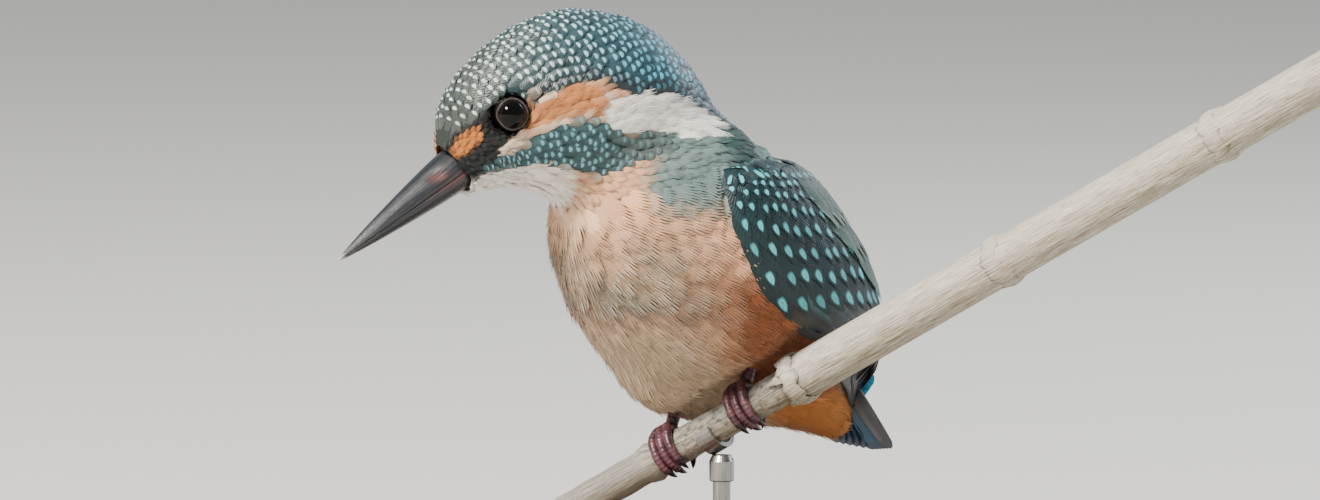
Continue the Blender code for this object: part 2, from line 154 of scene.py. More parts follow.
COLOURS = {
    # The cap's front colour and its front spot colour are painted paler, as if sunlit.
    "cap": "#3d4542", "cap_mid": "#2a464c", "cap_rear": "#17404d", "cap_rim": "#141b20",
    "sunlit_cap_spot": "#c6e6ea", "cap_spot_rear": "#52bad8", "malar": "#2b4c50", "malar_rear": "#45504e",
    "malar_bar": "#77b4c4", "white": "#f4f1ea", "cream": "#ecd3ba", "ear": "#cb8550", "lore": "#c87c3e",
    # The upper breast's pale colour is a painted highlight of the key light.
    "black": "#171413", "face": "#27292a", "throat": "#f3ede2", "breast": "#d8a682", "sunlit_breast_highlight": "#ecd0b0",
    "breast_dusk": "#77756d", "mottle": "#747462", "mottle_tip": "#d6d0bd", "band_rim": "#63534d",
    "belly": "#cbb192", "flank": "#8c5435", "undertail": "#c07a3a", "mantle": "#234544",
    "mantle_tip": "#5c9188", "rump": "#2fa6d6", "side_neck": "#6c8280", "covert": "#0f2b30",
    # The scapulars' pale tip colour is a painted highlight of light from above.
    "covert_spot": "#5fd0da", "scapular": "#35544e", "scapular_highlight_tip": "#93a99b", "remex": "#161c20",
    "remex_edge": "#1f5a60", "tail": "#1d4668", "tail_edge": "#2f86b4", "tail_under": "#666a70",
    "tail_under_edge": "#aeb0b2",
}


def linear(code):
    """An sRGB hex colour as linear red, green and blue."""
    parts = [int(code[i:i + 2], 16) / 255 for i in (1, 3, 5)]
    return tuple(c / 12.92 if c <= 0.04045 else ((c + 0.055) / 1.055) ** 2.4 for c in parts)


def opaque(code):
    return (*linear(code), 1.0)


def paint(name):
    return np.array(linear(COLOURS[name]))


def painted(name, count):
    """The named colour once for each of that many places."""
    return np.tile(paint(name), (count, 1))


# --- Places on the bird -------------------------------------------------------------------------------------

def head_point(forward, up, left=0.0):
    return HEAD_CENTRE + forward * HEAD_FORWARD + up * UP + left * HEAD_LEFT


def body_point(forward, left, height):
    return np.array((GRIP[0], GRIP[1], 0.0)) + forward * BODY_FORWARD + left * BODY_LEFT + height * UP


def reed_point(along, angle=0.0, radius=0.0):
    turn = math.radians(angle)
    return GRIP + along * REED_ALONG + radius * (math.cos(turn) * REED_TOP + math.sin(turn) * REED_FRONT)


def head_places(points):
    """Forward, up and left of the head's centre."""
    away = points - HEAD_CENTRE
    return away @ HEAD_FORWARD, away[:, 2], away @ HEAD_LEFT


def body_places(points):
    """Angle in degrees round the trunk from the breast, positive to the left, and height."""
    away = points - np.array((GRIP[0], GRIP[1], 0.0))
    forward = away @ BODY_FORWARD - np.interp(points[:, 2], TRUNK_LINE[:, 0], TRUNK_LINE[:, 1])
    left = away @ BODY_LEFT - np.interp(points[:, 2], TRUNK_LINE[:, 0], TRUNK_LINE[:, 2])
    return np.degrees(np.arctan2(left, forward)), points[:, 2]


def side_places(points):
    """Back and up from the left eye on the side of the head. The right side is mirrored onto the left."""
    forward, up, left = head_places(points)
    mirrored = (
        HEAD_CENTRE + forward[:, None] * HEAD_FORWARD + up[:, None] * UP + np.abs(left)[:, None] * HEAD_LEFT
    )
    eye = head_point(*EYE_PLACE, EYE_SPREAD)
    away = mirrored - eye
    return away[:, 0], away[:, 2] * SIDE_HEIGHT + away[:, 1] * SIDE_DEPTH


def unit(vectors):
    return vectors / np.maximum(np.linalg.norm(vectors, axis=-1, keepdims=True), 1e-9)


def ease(low, high, value):
    share = np.clip((value - low) / (high - low), 0.0, 1.0)
    return share * share * (3 - 2 * share)


# --- Markings -----------------------------------------------------------------------------------------------

def off_edge(x, y, start, end):
    """How far along a straight edge each place's nearest point is, from 0 to 1, and how far off the place is."""
    (x0, y0), (dx, dy) = start, end - start
    share = np.clip(((x - x0) * dx + (y - y0) * dy) / (dx * dx + dy * dy), 0.0, 1.0)
    return share, np.hypot(x - x0 - share * dx, y - y0 - share * dy)


def inside(outline, x, y, soft=0.5):
    """How far each place is inside a closed outline, from 0 to 1, with a soft edge."""
    corners = np.array(outline)
    nearest = np.full(len(x), 1e9)
    within = np.zeros(len(x), dtype=bool)
    for start, end in zip(corners, np.roll(corners, -1, axis=0)):
        nearest = np.minimum(nearest, off_edge(x, y, start, end)[1])
        (x0, y0), (dx, dy) = start, end - start
        within ^= ((y0 > y) != (end[1] > y)) & (x < dx * (y - y0) / (dy if dy else 1e-9) + x0)
    return ease(-soft, soft, np.where(within, nearest, -nearest))


def near_line(line, x, y, width, soft=0.4):
    """How near each place is to a line of a given half width, from 0 to 1."""
    corners = np.array(line)
    widths = np.broadcast_to(np.asarray(width, dtype=float), (len(corners),))
    best = np.full(len(x), -1e9)
    for i in range(len(corners) - 1):
        share, off = off_edge(x, y, corners[i], corners[i + 1])
        best = np.maximum(best, widths[i] + (widths[i + 1] - widths[i]) * share - off)
    return ease(-soft, soft, best)


def ripple(points, size, seed=0.0):
    """A smooth patchiness of about that size in millimetres, from -1 to 1."""
    turned = points / size * 6.28
    x, y, z = turned[:, 0], turned[:, 1], turned[:, 2]
    waves = (
        np.sin(x * 0.7 + 1.3 * np.sin(y * 0.5 + seed) + seed)
        + np.sin(y * 0.8 + 1.1 * np.sin(z * 0.6 + seed * 2))
        + np.sin(z * 0.75 + 1.2 * np.sin(x * 0.55 + seed * 3))
    )
    return waves / 3


def zones(points):
    """The weight of each part of the plumage at these places."""
    back, up = side_places(points)
    forward, _, left = head_places(points)
    angle, height = body_places(points)
    aside = np.abs(angle)
    wobble = 0.5 * ripple(points, 9.0, 1.0)
    head = ease(72.0, 78.0, height + 0.28 * forward) * ease(-34.0, -28.0, forward)
    near_head = ease(68.0, 72.0, height + 0.2 * forward) * ease(-36.0, -30.0, forward)
    nape = ease(4.2, 2.2, np.abs(left)) * ease(-10.0, -13.0, forward) * ease(80.0, 84.0, height)
    cap = inside(CAP, back + wobble * 0.3, up + wobble * 0.3, 0.35) * ease(-38.0, -33.0, forward)
    found = {
        "head": head, "back": back, "up": up,
        "cap": np.maximum(cap, nape),
        "rim": near_line(CAP_RIM, back, up, 1.1, 0.6),
        "dark": near_line(EYE_PATCH, back, up, (1.7, 3.1, 2.7), 0.3) * near_head,
        "neck_patch": inside(NECK_PATCH, back, up + wobble * 0.3, 0.3) * near_head * (1 - nape),
    }
    for name, outline, soft in (
        ("ear", EAR, 0.25), ("malar", MALAR, 0.4), ("throat", THROAT, 0.4), ("lore", LORE, 0.35),
    ):
        found[name] = inside(outline, back + wobble * 0.3, up + wobble * 0.2, soft) * near_head
    found["face"] = head * ease(3.0, 0.0, back) * ease(-14.5, -13.0, up)
    rear = ease(98.0, 122.0, aside + 8 * wobble)
    top = ease(66.0, 86.0, aside + 10 * wobble) * ease(70.0, 76.0, height - 0.06 * np.clip(aside - 70, 0, 60))
    found["mantle"] = np.maximum(rear * ease(40.0, 44.0, height + 0.18 * (aside - 120)), top)
    found["rump"] = ease(158.0, 168.0, aside) * ease(30.0, 36.0, height)
    found["undertail"] = ease(41.5, 36.0, height - 0.02 * (aside - 120)) * ease(30.0, 60.0, aside + 6 * wobble)
    found["flank"] = ease(26.0, 58.0, aside + 12 * wobble) * ease(67.0, 58.0, height)
    found["band"] = ease(60.0, 24.0, aside) * ease(55.0, 59.0, height) * ease(72.0, 65.0, height + 2 * wobble)
    found["band_rim"] = ease(60.0, 30.0, aside) * ease(52.5, 55.5, height) * ease(60.0, 57.0, height)
    found["low"] = ease(57.0, 51.0, height) * ease(48.0, 22.0, aside)
    # The front of the upper breast, where the key light's highlight is painted.
    found["bright"] = ease(66.0, 72.0, height) * ease(26.0, 2.0, aside)
    high_up = ease(70.0, 76.0, height + 2 * wobble)
    found["side_neck"] = ease(18.0, 36.0, aside + 6 * wobble) * high_up * ease(9.0, 15.0, back)
    return found


def blend(base, other, weight):
    return base + (other - base) * weight[:, None]


def markings(points, zone=None):
    """The plumage's colour at these places, the colour of its marks, and how strong the marks are."""
    zone = zone or zones(points)
    count = len(points)
    patch = ripple(points, 10.0, 2.0)
    base, mark = painted("breast", count), painted("breast_dusk", count)
    amount = 0.3 + 0.25 * patch
    # Painted highlight: the front of the upper breast is painted paler, as if lit by the key light.
    base = blend(base, paint("sunlit_breast_highlight"), zone["bright"] * ease(-0.6, 0.6, patch))
    base = blend(base, paint("mottle"), zone["band"] * (0.7 + 0.3 * patch))
    mark = blend(mark, paint("mottle_tip"), zone["band"] * ease(-0.5, 0.3, ripple(points, 6.0, 5.0)))
    amount = amount + (0.75 - amount) * zone["band"]
    for colour, weight in (("band_rim", 0.6 * zone["band_rim"]), ("belly", zone["low"]), ("flank", zone["flank"])):
        base = blend(base, paint(colour), weight)
    amount = amount * (1 - 0.8 * zone["low"]) * (1 - 0.7 * zone["flank"])
    base = blend(base, paint("undertail"), zone["undertail"])
    amount = amount * (1 - 0.8 * zone["undertail"])
    base = blend(base, paint("side_neck"), zone["side_neck"])
    for name, under, tip, strength in (
        ("mantle", "mantle", "mantle_tip", 0.6), ("rump", "rump", "cap_spot_rear", 0.5),
    ):
        base = blend(base, paint(under), zone[name])
        mark = blend(mark, paint(tip), zone[name])
        amount = amount + (strength - amount) * zone[name]
    base = blend(base, paint("face"), zone["face"])
    amount = amount * (1 - zone["face"])
    base = blend(base, paint("malar"), zone["malar"])
    base = blend(base, paint("malar_rear"), zone["malar"] * ease(12.0, 22.0, zone["back"]) * 0.8)
    mark = blend(mark, paint("malar_bar"), zone["malar"])
    amount = amount + (0.8 * (1 - 0.8 * ease(12.0, 20.0, zone["back"])) - amount) * zone["malar"]
    edge = (zone["up"] + 5.8 - 0.45 * np.clip(zone["back"], -2, 9)) / 1.8
    warm = ease(-0.5, 3.2, zone["back"]) * ease(15.6, 13.6, zone["back"]) * ease(0.0, 1.0, edge)
    ear = blend(painted("cream", count), paint("ear"), warm)
    for name, colour in (("throat", paint("throat")), ("neck_patch", paint("white")), ("ear", ear)):
        base = blend(base, colour, zone[name])
        amount = amount * (1 - zone[name])
    rear = ease(4.0, 24.0, zone["back"])
    # Painted highlight: the cap's front, base and spots, is painted paler and greyer as if sunlit, and fades further
    # back to the cap's own dark blue and blue spots.
    cap = blend(painted("cap", count), paint("cap_mid"), ease(-8.0, 5.0, zone["back"]))
    cap = blend(blend(cap, paint("cap_rear"), rear), paint("cap_rim"), 0.85 * zone["rim"])
    base = blend(base, cap, zone["cap"])
    mark = blend(mark, blend(painted("sunlit_cap_spot", count), paint("cap_spot_rear"), rear), zone["cap"])
    amount = amount + (1 - 0.65 * zone["rim"] - amount) * zone["cap"]
    for name, colour in (("dark", "black"), ("lore", "lore")):
        base = blend(base, paint(colour), zone[name])
        amount = amount * (1 - zone[name])
    return [np.clip(found, 0, 1) for found in (base, mark, amount)]


# --- Nodes and materials ------------------------------------------------------------------------------------

TURN = 6.283
MARK_PLACE = 0.78
MARK_SIZES = {"bar": (0.68, 0.1), "dot": (0.34, 0.1)}
BARB_SLANT = 0.45


def add(tree, kind, links=None, **settings):
    """Adds a node, sets its properties, and links or sets its inputs."""
    node = tree.nodes.new(kind)
    for name, value in settings.items():
        setattr(node, name, value)
    for name, value in (links or {}).items():
        if isinstance(value, bpy.types.NodeSocket):
            tree.links.new(value, node.inputs[name])
        else:
            node.inputs[name].default_value = value
    return node


def new_material(name, **sockets):
    made = bpy.data.materials.new(name)
    made.use_nodes = True
    shader = made.node_tree.nodes["Principled BSDF"]
    for socket, value in sockets.items():
        shader.inputs[socket.replace("_", " ")].default_value = value
    return made, made.node_tree, shader


def ramp(tree, value, stops):
    """A colour ramp over a value, from (place, hex colour) stops."""
    node = add(tree, "ShaderNodeValToRGB", {"Fac": value})
    while len(node.color_ramp.elements) < len(stops):
        node.color_ramp.elements.new(0.5)
    for element, (place, colour) in zip(node.color_ramp.elements, stops):
        element.position = place
        element.color = opaque(colour)
    return node.outputs["Color"]


def maths(tree, operation, first, second=0.0, clamp=False):
    return add(tree, "ShaderNodeMath", {0: first, 1: second}, operation=operation, use_clamp=clamp).outputs[0]


def mixed(tree, factor, first, second, kind="MIX"):
    node = add(tree, "ShaderNodeMix", {0: factor, 6: first, 7: second}, data_type="RGBA", blend_type=kind)
    return node.outputs[2]


def mapped(tree, value, low=0.0, high=1.0, to_low=0.0, to_high=1.0):
    """A value moved from one range to another, and held inside it."""
    links = {"Value": value, "From Min": low, "From Max": high, "To Min": to_low, "To Max": to_high}
    return add(tree, "ShaderNodeMapRange", links).outputs[0]


def noise(tree, place, scale, detail=2.0, roughness=0.5, distortion=0.0):
    links = {"Vector": place, "Scale": scale, "Detail": detail, "Roughness": roughness, "Distortion": distortion}
    return add(tree, "ShaderNodeTexNoise", links).outputs["Fac"]


def attribute(tree, name, output="Fac"):
    return add(tree, "ShaderNodeAttribute", attribute_name=name).outputs[output]


def object_place(tree):
    return add(tree, "ShaderNodeTexCoord").outputs["Object"]


def uv_place(tree, name):
    """A UV map's places, and those places split into across and along."""
    place = add(tree, "ShaderNodeUVMap", uv_map=name).outputs["UV"]
    split = add(tree, "ShaderNodeSeparateXYZ", {"Vector": place})
    return place, split.outputs["X"], split.outputs["Y"]


def stretched(tree, place, scale):
    return add(tree, "ShaderNodeMapping", {"Vector": place, "Scale": scale}).outputs[0]


def shaded(tree, colour, shade):
    """A colour times a grey value."""
    grey = add(tree, "ShaderNodeCombineColor", {0: shade, 1: shade, 2: shade}).outputs[0]
    return mixed(tree, 1.0, colour, grey, "MULTIPLY")


def use(tree, shader, **sockets):
    """Links values to a shader's inputs."""
    for socket, value in sockets.items():
        tree.links.new(value, shader.inputs[socket.replace("_", " ")])


def bump(tree, shader, height, distance, strength=1.0):
    node = add(tree, "ShaderNodeBump", {"Height": height, "Distance": distance, "Strength": strength})
    use(tree, shader, Normal=node.outputs["Normal"])


def feather_material(name, pattern, barbs, roughness, gloss):
    """Keratin barbs hooked into a vane: a soft sheen, fine slanting lines, and a mark near the tip."""
    made, tree, shader = new_material(
        name, Roughness=roughness, IOR=1.55, Specular_IOR_Level=gloss, Sheen_Weight=0.12, Sheen_Roughness=0.4,
    )
    base = attribute(tree, "coat_base", "Color")
    mark = add(tree, "ShaderNodeAttribute", attribute_name="coat_mark")
    _, u, along = uv_place(tree, "vane")
    across = maths(tree, "MULTIPLY", maths(tree, "SUBTRACT", u, 0.5), 2.0)
    aside = maths(tree, "ABSOLUTE", across)
    if pattern in MARK_SIZES:
        half, tall = MARK_SIZES[pattern]
        wide = maths(tree, "MULTIPLY", aside, 1 / half)
        high = maths(tree, "DIVIDE", maths(tree, "SUBTRACT", along, MARK_PLACE), tall)
        square = maths(tree, "ADD", maths(tree, "POWER", wide, 2.0), maths(tree, "MULTIPLY", high, high))
        mask = mapped(tree, maths(tree, "SQRT", square), 1.1, 0.7)
    elif pattern == "edge":
        mask = mapped(tree, across, 0.2, 0.75)
    else:
        mask = mapped(tree, maths(tree, "ADD", along, maths(tree, "MULTIPLY", aside, 0.12)), 0.62, 0.98)
    colour = mixed(tree, maths(tree, "MULTIPLY", mask, mark.outputs["Alpha"]), base, mark.outputs["Color"])
    slant = maths(tree, "SUBTRACT", along, maths(tree, "MULTIPLY", aside, BARB_SLANT))
    lines = maths(tree, "SINE", maths(tree, "MULTIPLY", slant, barbs * TURN))
    use(tree, shader, Base_Color=shaded(tree, colour, mapped(tree, lines, -1.0, 1.0, 0.86, 1.08)))
    bump(tree, shader, lines, 0.00004, 0.5)
    return made


# --- Mesh building ------------------------------------------------------------------------------------------

FAR_OUT = 90.0
SMALL_PATCH = 0.003


def placed(name, data):
    """An object with that data, linked to the scene."""
    made = bpy.data.objects.new(name, data)
    bpy.context.scene.collection.objects.link(made)
    return made


def face_out(bm):
    bm.normal_update()
    bmesh.ops.recalc_face_normals(bm, faces=bm.faces)


def object_from(name, bm, material=None, smooth=True):
    """Makes an object of a bmesh in millimetres. It rides on the body."""
    bmesh.ops.scale(bm, vec=(MM, MM, MM), verts=bm.verts)
    mesh = bpy.data.meshes.new(name)
    bm.to_mesh(mesh)
    bm.free()
    if smooth:
        mesh.shade_smooth()
    made = placed(name, mesh)
    if material:
        mesh.materials.append(material)
    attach(made, "root")
    return made


def loft(bm, rings, sides, closed=True):
    """Bridges rings of (centre, side vector, top vector) into a skin, and returns the rings of vertices."""
    rows, loops = [], []
    for centre, side, top in rings:
        made = bmesh.ops.create_circle(bm, segments=sides, radius=1.0)["verts"]
        for vert in made:
            vert.co = Vector(centre + vert.co.x * side + vert.co.y * top)
        rows.append(made)
        loops.append(list({edge for vert in made for edge in vert.link_edges}))
    for one, other in zip(loops, loops[1:]):
        bmesh.ops.bridge_loops(bm, edges=one + other)
    if closed:
        for end in (loops[0], loops[-1]):
            bmesh.ops.contextual_create(bm, geom=end)
    face_out(bm)
    return rows


def tube(bm, points, radii, sides, across, squash=1.0):
    """A round tube along points. across is a direction that never lies along it."""
    rings = []
    for i, (point, radius) in enumerate(zip(points, radii)):
        along = unit(points[min(i + 1, len(points) - 1)] - points[max(i - 1, 0)])
        side = unit(np.cross(along, across))
        rings.append((point, side * radius * squash, np.cross(side, along) * radius))
    return loft(bm, rings, sides)


def curve_row(rows, place):
    """A smooth curve through a table's rows, read at a fractional row number."""
    last = len(rows) - 1
    index = min(int(place), last - 1)
    share = place - index
    a, b, c, d = (np.array(rows[min(max(i, 0), last)], dtype=float) for i in range(index - 1, index + 3))
    bend, twist = 2 * a - 5 * b + 4 * c - d, 3 * b - a - 3 * c + d
    return 0.5 * (2 * b + (c - a) * share + bend * share ** 2 + twist * share ** 3)


def read(items, field, width, kind=float):
    """One field of every item of a mesh, as rows of that width."""
    values = np.empty(len(items) * width, dtype=kind)
    items.foreach_get(field, values)
    return values.reshape(-1, width)


def pick(chosen, *arrays):
    return [array[chosen] for array in arrays]


def run_along(line):
    """How far along a line of points each point is."""
    return np.concatenate(([0], np.cumsum(np.linalg.norm(np.diff(line, axis=0), axis=1))))


class Ground:
    """The skin that feathers grow from, in millimetres."""

    def __init__(self, mesh):
        self.points = read(mesh.vertices, "co", 3) / MM
        self.normals = read(mesh.vertex_normals, "vector", 3)
        mesh.calc_loop_triangles()
        self.faces = read(mesh.loop_triangles, "vertices", 3, int)
        self.tree = BVHTree.FromPolygons(self.points.tolist(), self.faces.tolist())

    def nearest(self, places):
        """The nearest point of the skin to each place, and the skin's smooth normal there."""
        spots, normals = np.empty_like(places), np.empty_like(places)
        for i, place in enumerate(places):
            spot, _, face, _ = self.tree.find_nearest(Vector(place))
            spots[i] = spot
            normals[i] = self.normals[self.faces[face]].mean(axis=0)
        return spots, unit(normals)

    def cast(self, start, way):
        """Where a ray from inside leaves the skin for good, and the normal there, or None."""
        spot, _, face, _ = self.tree.ray_cast(Vector(start + way * FAR_OUT), Vector(-way))
        if face is None:
            return None
        return np.array(spot), unit(self.normals[self.faces[face]].mean(axis=0))

    def scatter(self, rng, count):
        """Random places spread evenly over the skin."""
        corners = self.points[self.faces]
        one, other = corners[:, 1] - corners[:, 0], corners[:, 2] - corners[:, 0]
        sizes = np.linalg.norm(np.cross(one, other), axis=1)
        picks = rng.choice(len(sizes), size=count, p=sizes / sizes.sum())
        a, b = rng.random(count), rng.random(count)
        flip = a + b > 1
        a[flip], b[flip] = 1 - a[flip], 1 - b[flip]
        weights = np.stack((1 - a - b, a, b), axis=1)[:, :, None]
        normals = self.normals[self.faces[picks]]
        return (corners[picks] * weights).sum(axis=1), unit((normals * weights).sum(axis=1))


def thin_out(points, spacing, rng):
    """Numbers of places that keep their own spacing from each other."""
    tree = KDTree(len(points))
    for i, point in enumerate(points):
        tree.insert(point, i)
    tree.balance()
    alive = np.ones(len(points), dtype=bool)
    kept = []
    for i in rng.permutation(len(points)):
        if alive[i]:
            kept.append(i)
            for _, other, _ in tree.find_range(points[i], spacing[i]):
                alive[other] = False
    return np.array(kept)


def lie(points, normals):
    """The way that feathers lie: away from the bill, over the head and body, and in to the tail's tip."""
    bill = head_point(*BILL_START) + HEAD_FORWARD * 2.0
    tail = body_point(*TAIL_TIP)
    out, home = points - bill, tail - points
    way = out / np.sum(out ** 2, axis=1, keepdims=True) + home / np.sum(home ** 2, axis=1, keepdims=True)
    way = way - np.sum(way * normals, axis=1, keepdims=True) * normals
    return unit(way)


def grid_of(columns, rows):
    """The corners of a flat grid from -1 to 1 both ways, and its faces as numbers of corners."""
    bm = bmesh.new()
    bmesh.ops.create_grid(bm, x_segments=columns, y_segments=rows, size=1.0)
    bm.verts.index_update()
    corners = np.array([vert.co[:2] for vert in bm.verts])
    faces = [[vert.index for vert in face.verts] for face in bm.faces]
    bm.free()
    return corners, faces


def vane_template(columns, rows, point, chevron=0.22):
    """A flat vane with a rounded end, as places across from -1 to 1 and along from 0 to 1, and its faces."""
    grid, faces = grid_of(columns, rows)
    across, along = grid[:, 0], (grid[:, 1] + 1) / 2
    end = np.clip(1 - np.clip((along - 0.55) / 0.45, 0, 1) ** 2 * point, 0.02, 1)
    width = np.clip(0.45 + 1.5 * along, 0, 1) * np.sqrt(end)
    long = along - chevron * across ** 2 * along
    flat = np.zeros(len(across))
    return {"across": across * width, "along": long, "raise": flat, "u": across, "v": along, "faces": faces}


def plume_template(blades, segments, spread, thick):
    """A soft feather: a short closed vane that ends in a loose fan of barbs."""
    vane = vane_template(3, 3, 0.6)
    across, along, lift = [vane["across"] * spread], [vane["along"] * 0.72], [np.zeros(len(vane["across"]))]
    faces = list(vane["faces"])
    for blade in range(blades):
        share = blade / (blades - 1) * 2 - 1
        start, reach = 0.42 - 0.1 * abs(share), 1.0 - 0.24 * abs(share) ** 1.6
        first = sum(len(part) for part in across)
        grid, made = grid_of(1, segments)
        faces += [[first + corner for corner in face] for face in made]
        step = (grid[:, 1] + 1) / 2
        across.append(share * spread * (0.9 + 0.1 * step) + grid[:, 0] * thick * (1 - step ** 2.4 * 0.9))
        along.append(start + (reach - start) * step)
        lift.append(0.1 * math.cos(share * 4.4 + blade) * step + 0.06)
    across, along, lift = (np.concatenate(part) for part in (across, along, lift))
    return {"across": across, "along": along, "raise": lift, "u": across, "v": along, "faces": faces}


def bake_patches(places, patch):
    """A free cell of an even grid for each feather, near its place on the unwrap of the skin."""
    cells = int(1.0 / (patch * 1.35))
    low, high = places.min(axis=0), places.max(axis=0)
    spots = (places - low) / np.maximum(high - low, 1e-9) * (cells - 1)
    taken, found = set(), np.empty((len(places), 2))
    for i, (column, row) in enumerate(spots.round().astype(int)):
        for ring in range(cells):
            free = [
                (x, y)
                for x in range(max(column - ring, 0), min(column + ring + 1, cells))
                for y in range(max(row - ring, 0), min(row + ring + 1, cells))
                if max(abs(x - column), abs(y - row)) == ring and (x, y) not in taken
            ]
            if free:
                taken.add(free[0])
                found[i] = free[0]
                break
    return (found + 0.15) / cells


def unwrap(points):
    """Places on the skin laid flat: how far along from bill to tail, and the angle round."""
    bill, tail = head_point(*BILL_START), body_point(*TAIL_TIP)
    near, far = np.linalg.norm(points - bill, axis=1), np.linalg.norm(points - tail, axis=1)
    angle, _ = body_places(points)
    _, up, left = head_places(points)
    turn = np.degrees(np.arctan2(left, -up))
    share = ease(74.0, 84.0, points[:, 2])
    return np.stack((near / (near + far), (angle * (1 - share) + turn * share) / 360 + 0.5), axis=1)


def colour_layer(mesh, label, tones):
    """Stores red, green, blue and alpha at each corner of a mesh."""
    layer = mesh.color_attributes.new(label, "FLOAT_COLOR", "POINT")
    layer.data.foreach_set("color", tones.astype(np.float32).ravel())


def grow(name, ground, template, roots, normals, ways, length, width, base, mark, amount, rng,
         material, lift, camber, stray):
    """Grows one feather from the template at each root, bent to the skin, all joined in one mesh."""
    count = len(roots)
    length = np.broadcast_to(np.asarray(length, dtype=float), (count,)) * rng.uniform(0.88, 1.12, count)
    width = np.broadcast_to(np.asarray(width, dtype=float), (count,)) * rng.uniform(0.9, 1.1, count)
    turn = np.radians(rng.normal(0, stray, count))[:, None]
    sides = unit(np.cross(normals, ways))
    ways = unit(ways * np.cos(turn) + sides * np.sin(turn))
    middle, normal_1 = ground.nearest(roots + ways * length[:, None] * 0.5)
    onward = unit(ways - np.sum(ways * normal_1, axis=1, keepdims=True) * normal_1)
    tip, normal_2 = ground.nearest(middle + onward * length[:, None] * 0.5)
    v = template["along"][None, :, None]
    weights = ((1 - v) * (1 - 2 * v), 4 * v * (1 - v), v * (2 * v - 1))
    centre = sum(w * p[:, None, :] for w, p in zip(weights, (roots, middle, tip)))
    outward = unit(sum(w * p[:, None, :] for w, p in zip(weights, (normals, normal_1, normal_2))))
    slopes = ((4 * v - 3), (4 - 8 * v), (4 * v - 1))
    run = unit(sum(w * p[:, None, :] for w, p in zip(slopes, (roots, middle, tip))))
    side = unit(np.cross(outward, run))
    tall = lift[0] + (lift[1] - lift[0]) * v[..., 0] + template["raise"][None, :] * width[:, None] * 0.35
    tall = tall * rng.uniform(0.75, 1.25, (count, 1)) - camber * width[:, None] * template["across"][None, :] ** 2
    spots = centre + side * (template["across"][None, :, None] * width[:, None, None] / 2) + outward * tall[..., None]
    size = template["across"].size
    order = template["faces"]
    lengths = [len(face) for face in order]
    loops = np.concatenate([np.array(face) for face in order])
    mesh = bpy.data.meshes.new(name)
    mesh.vertices.add(count * size)
    mesh.vertices.foreach_set("co", (spots * MM).astype(np.float32).ravel())
    every = (np.arange(count)[:, None] * size + loops[None, :]).ravel()
    mesh.loops.add(len(every))
    mesh.loops.foreach_set("vertex_index", every.astype(np.int32))
    mesh.polygons.add(count * len(order))
    starts = np.concatenate(([0], np.cumsum(lengths)[:-1]))
    starts = (np.arange(count)[:, None] * len(loops) + starts[None, :]).ravel()
    mesh.polygons.foreach_set("loop_start", starts.astype(np.int32))
    vane = mesh.uv_layers.new(name="vane")
    flat = np.stack((template["u"] / 2 + 0.5, template["v"]), axis=1)[loops]
    vane.data.foreach_set("uv", np.tile(flat, (count, 1)).astype(np.float32).ravel())
    baked = mesh.uv_layers.new(name="OFBake")
    cells = bake_patches(unwrap(roots), SMALL_PATCH)
    inner = np.stack((template["across"] / 2 + 0.5, template["along"]), axis=1)[loops]
    baked.data.foreach_set("uv", (cells[:, None, :] + inner[None] * SMALL_PATCH).astype(np.float32).ravel())
    for label, colour, alpha in (("coat_base", base, np.ones(count)), ("coat_mark", mark, amount)):
        colour_layer(mesh, label, np.repeat(np.column_stack((colour, alpha)), size, axis=0))
    mesh.update(calc_edges=True)
    mesh.validate()
    mesh.shade_smooth()
    mesh.materials.append(material)
    made = placed(name, mesh)
    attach(made, "root")
    return made


def tinted(colour, rng, spread=0.1):
    """Each feather a little lighter or darker than the next."""
    return np.clip(colour * rng.normal(1.0, spread, (len(colour), 1)), 0, 1)


# --- Skin ---------------------------------------------------------------------------------------------------

FLESH = ("head", "neck", "trunk", "wing_left", "wing_right")
SKIN_SWELL = 0.35
# How much darker the skin is than the coat: painted shade in the gaps between the feathers.
SKIN_SHADE = 0.8
STORE = {}


def cad_copy(names):
    """The named CAD nodes copied into one bmesh in millimetres, with their corners merged."""
    bm = bmesh.new()
    for name in names:
        bm.from_mesh(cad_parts[name].data)
    bmesh.ops.remove_doubles(bm, verts=bm.verts, dist=0.000002)
    bmesh.ops.scale(bm, vec=(1 / MM, 1 / MM, 1 / MM), verts=bm.verts)
    bm.normal_update()
    return bm


def skin_material():
    """Down and the bases of feathers, seen only between the tips of the coat: matt, in the plumage's colours."""
    made, tree, shader = new_material("down_underlayer", Roughness=0.85, Specular_IOR_Level=0.2)
    fluff = noise(tree, object_place(tree), 1400.0, 4.0)
    shade = mapped(tree, fluff, to_low=0.7)
    use(tree, shader, Base_Color=shaded(tree, attribute(tree, "coat_base", "Color"), shade))
    bump(tree, shader, fluff, 0.0003)
    return made


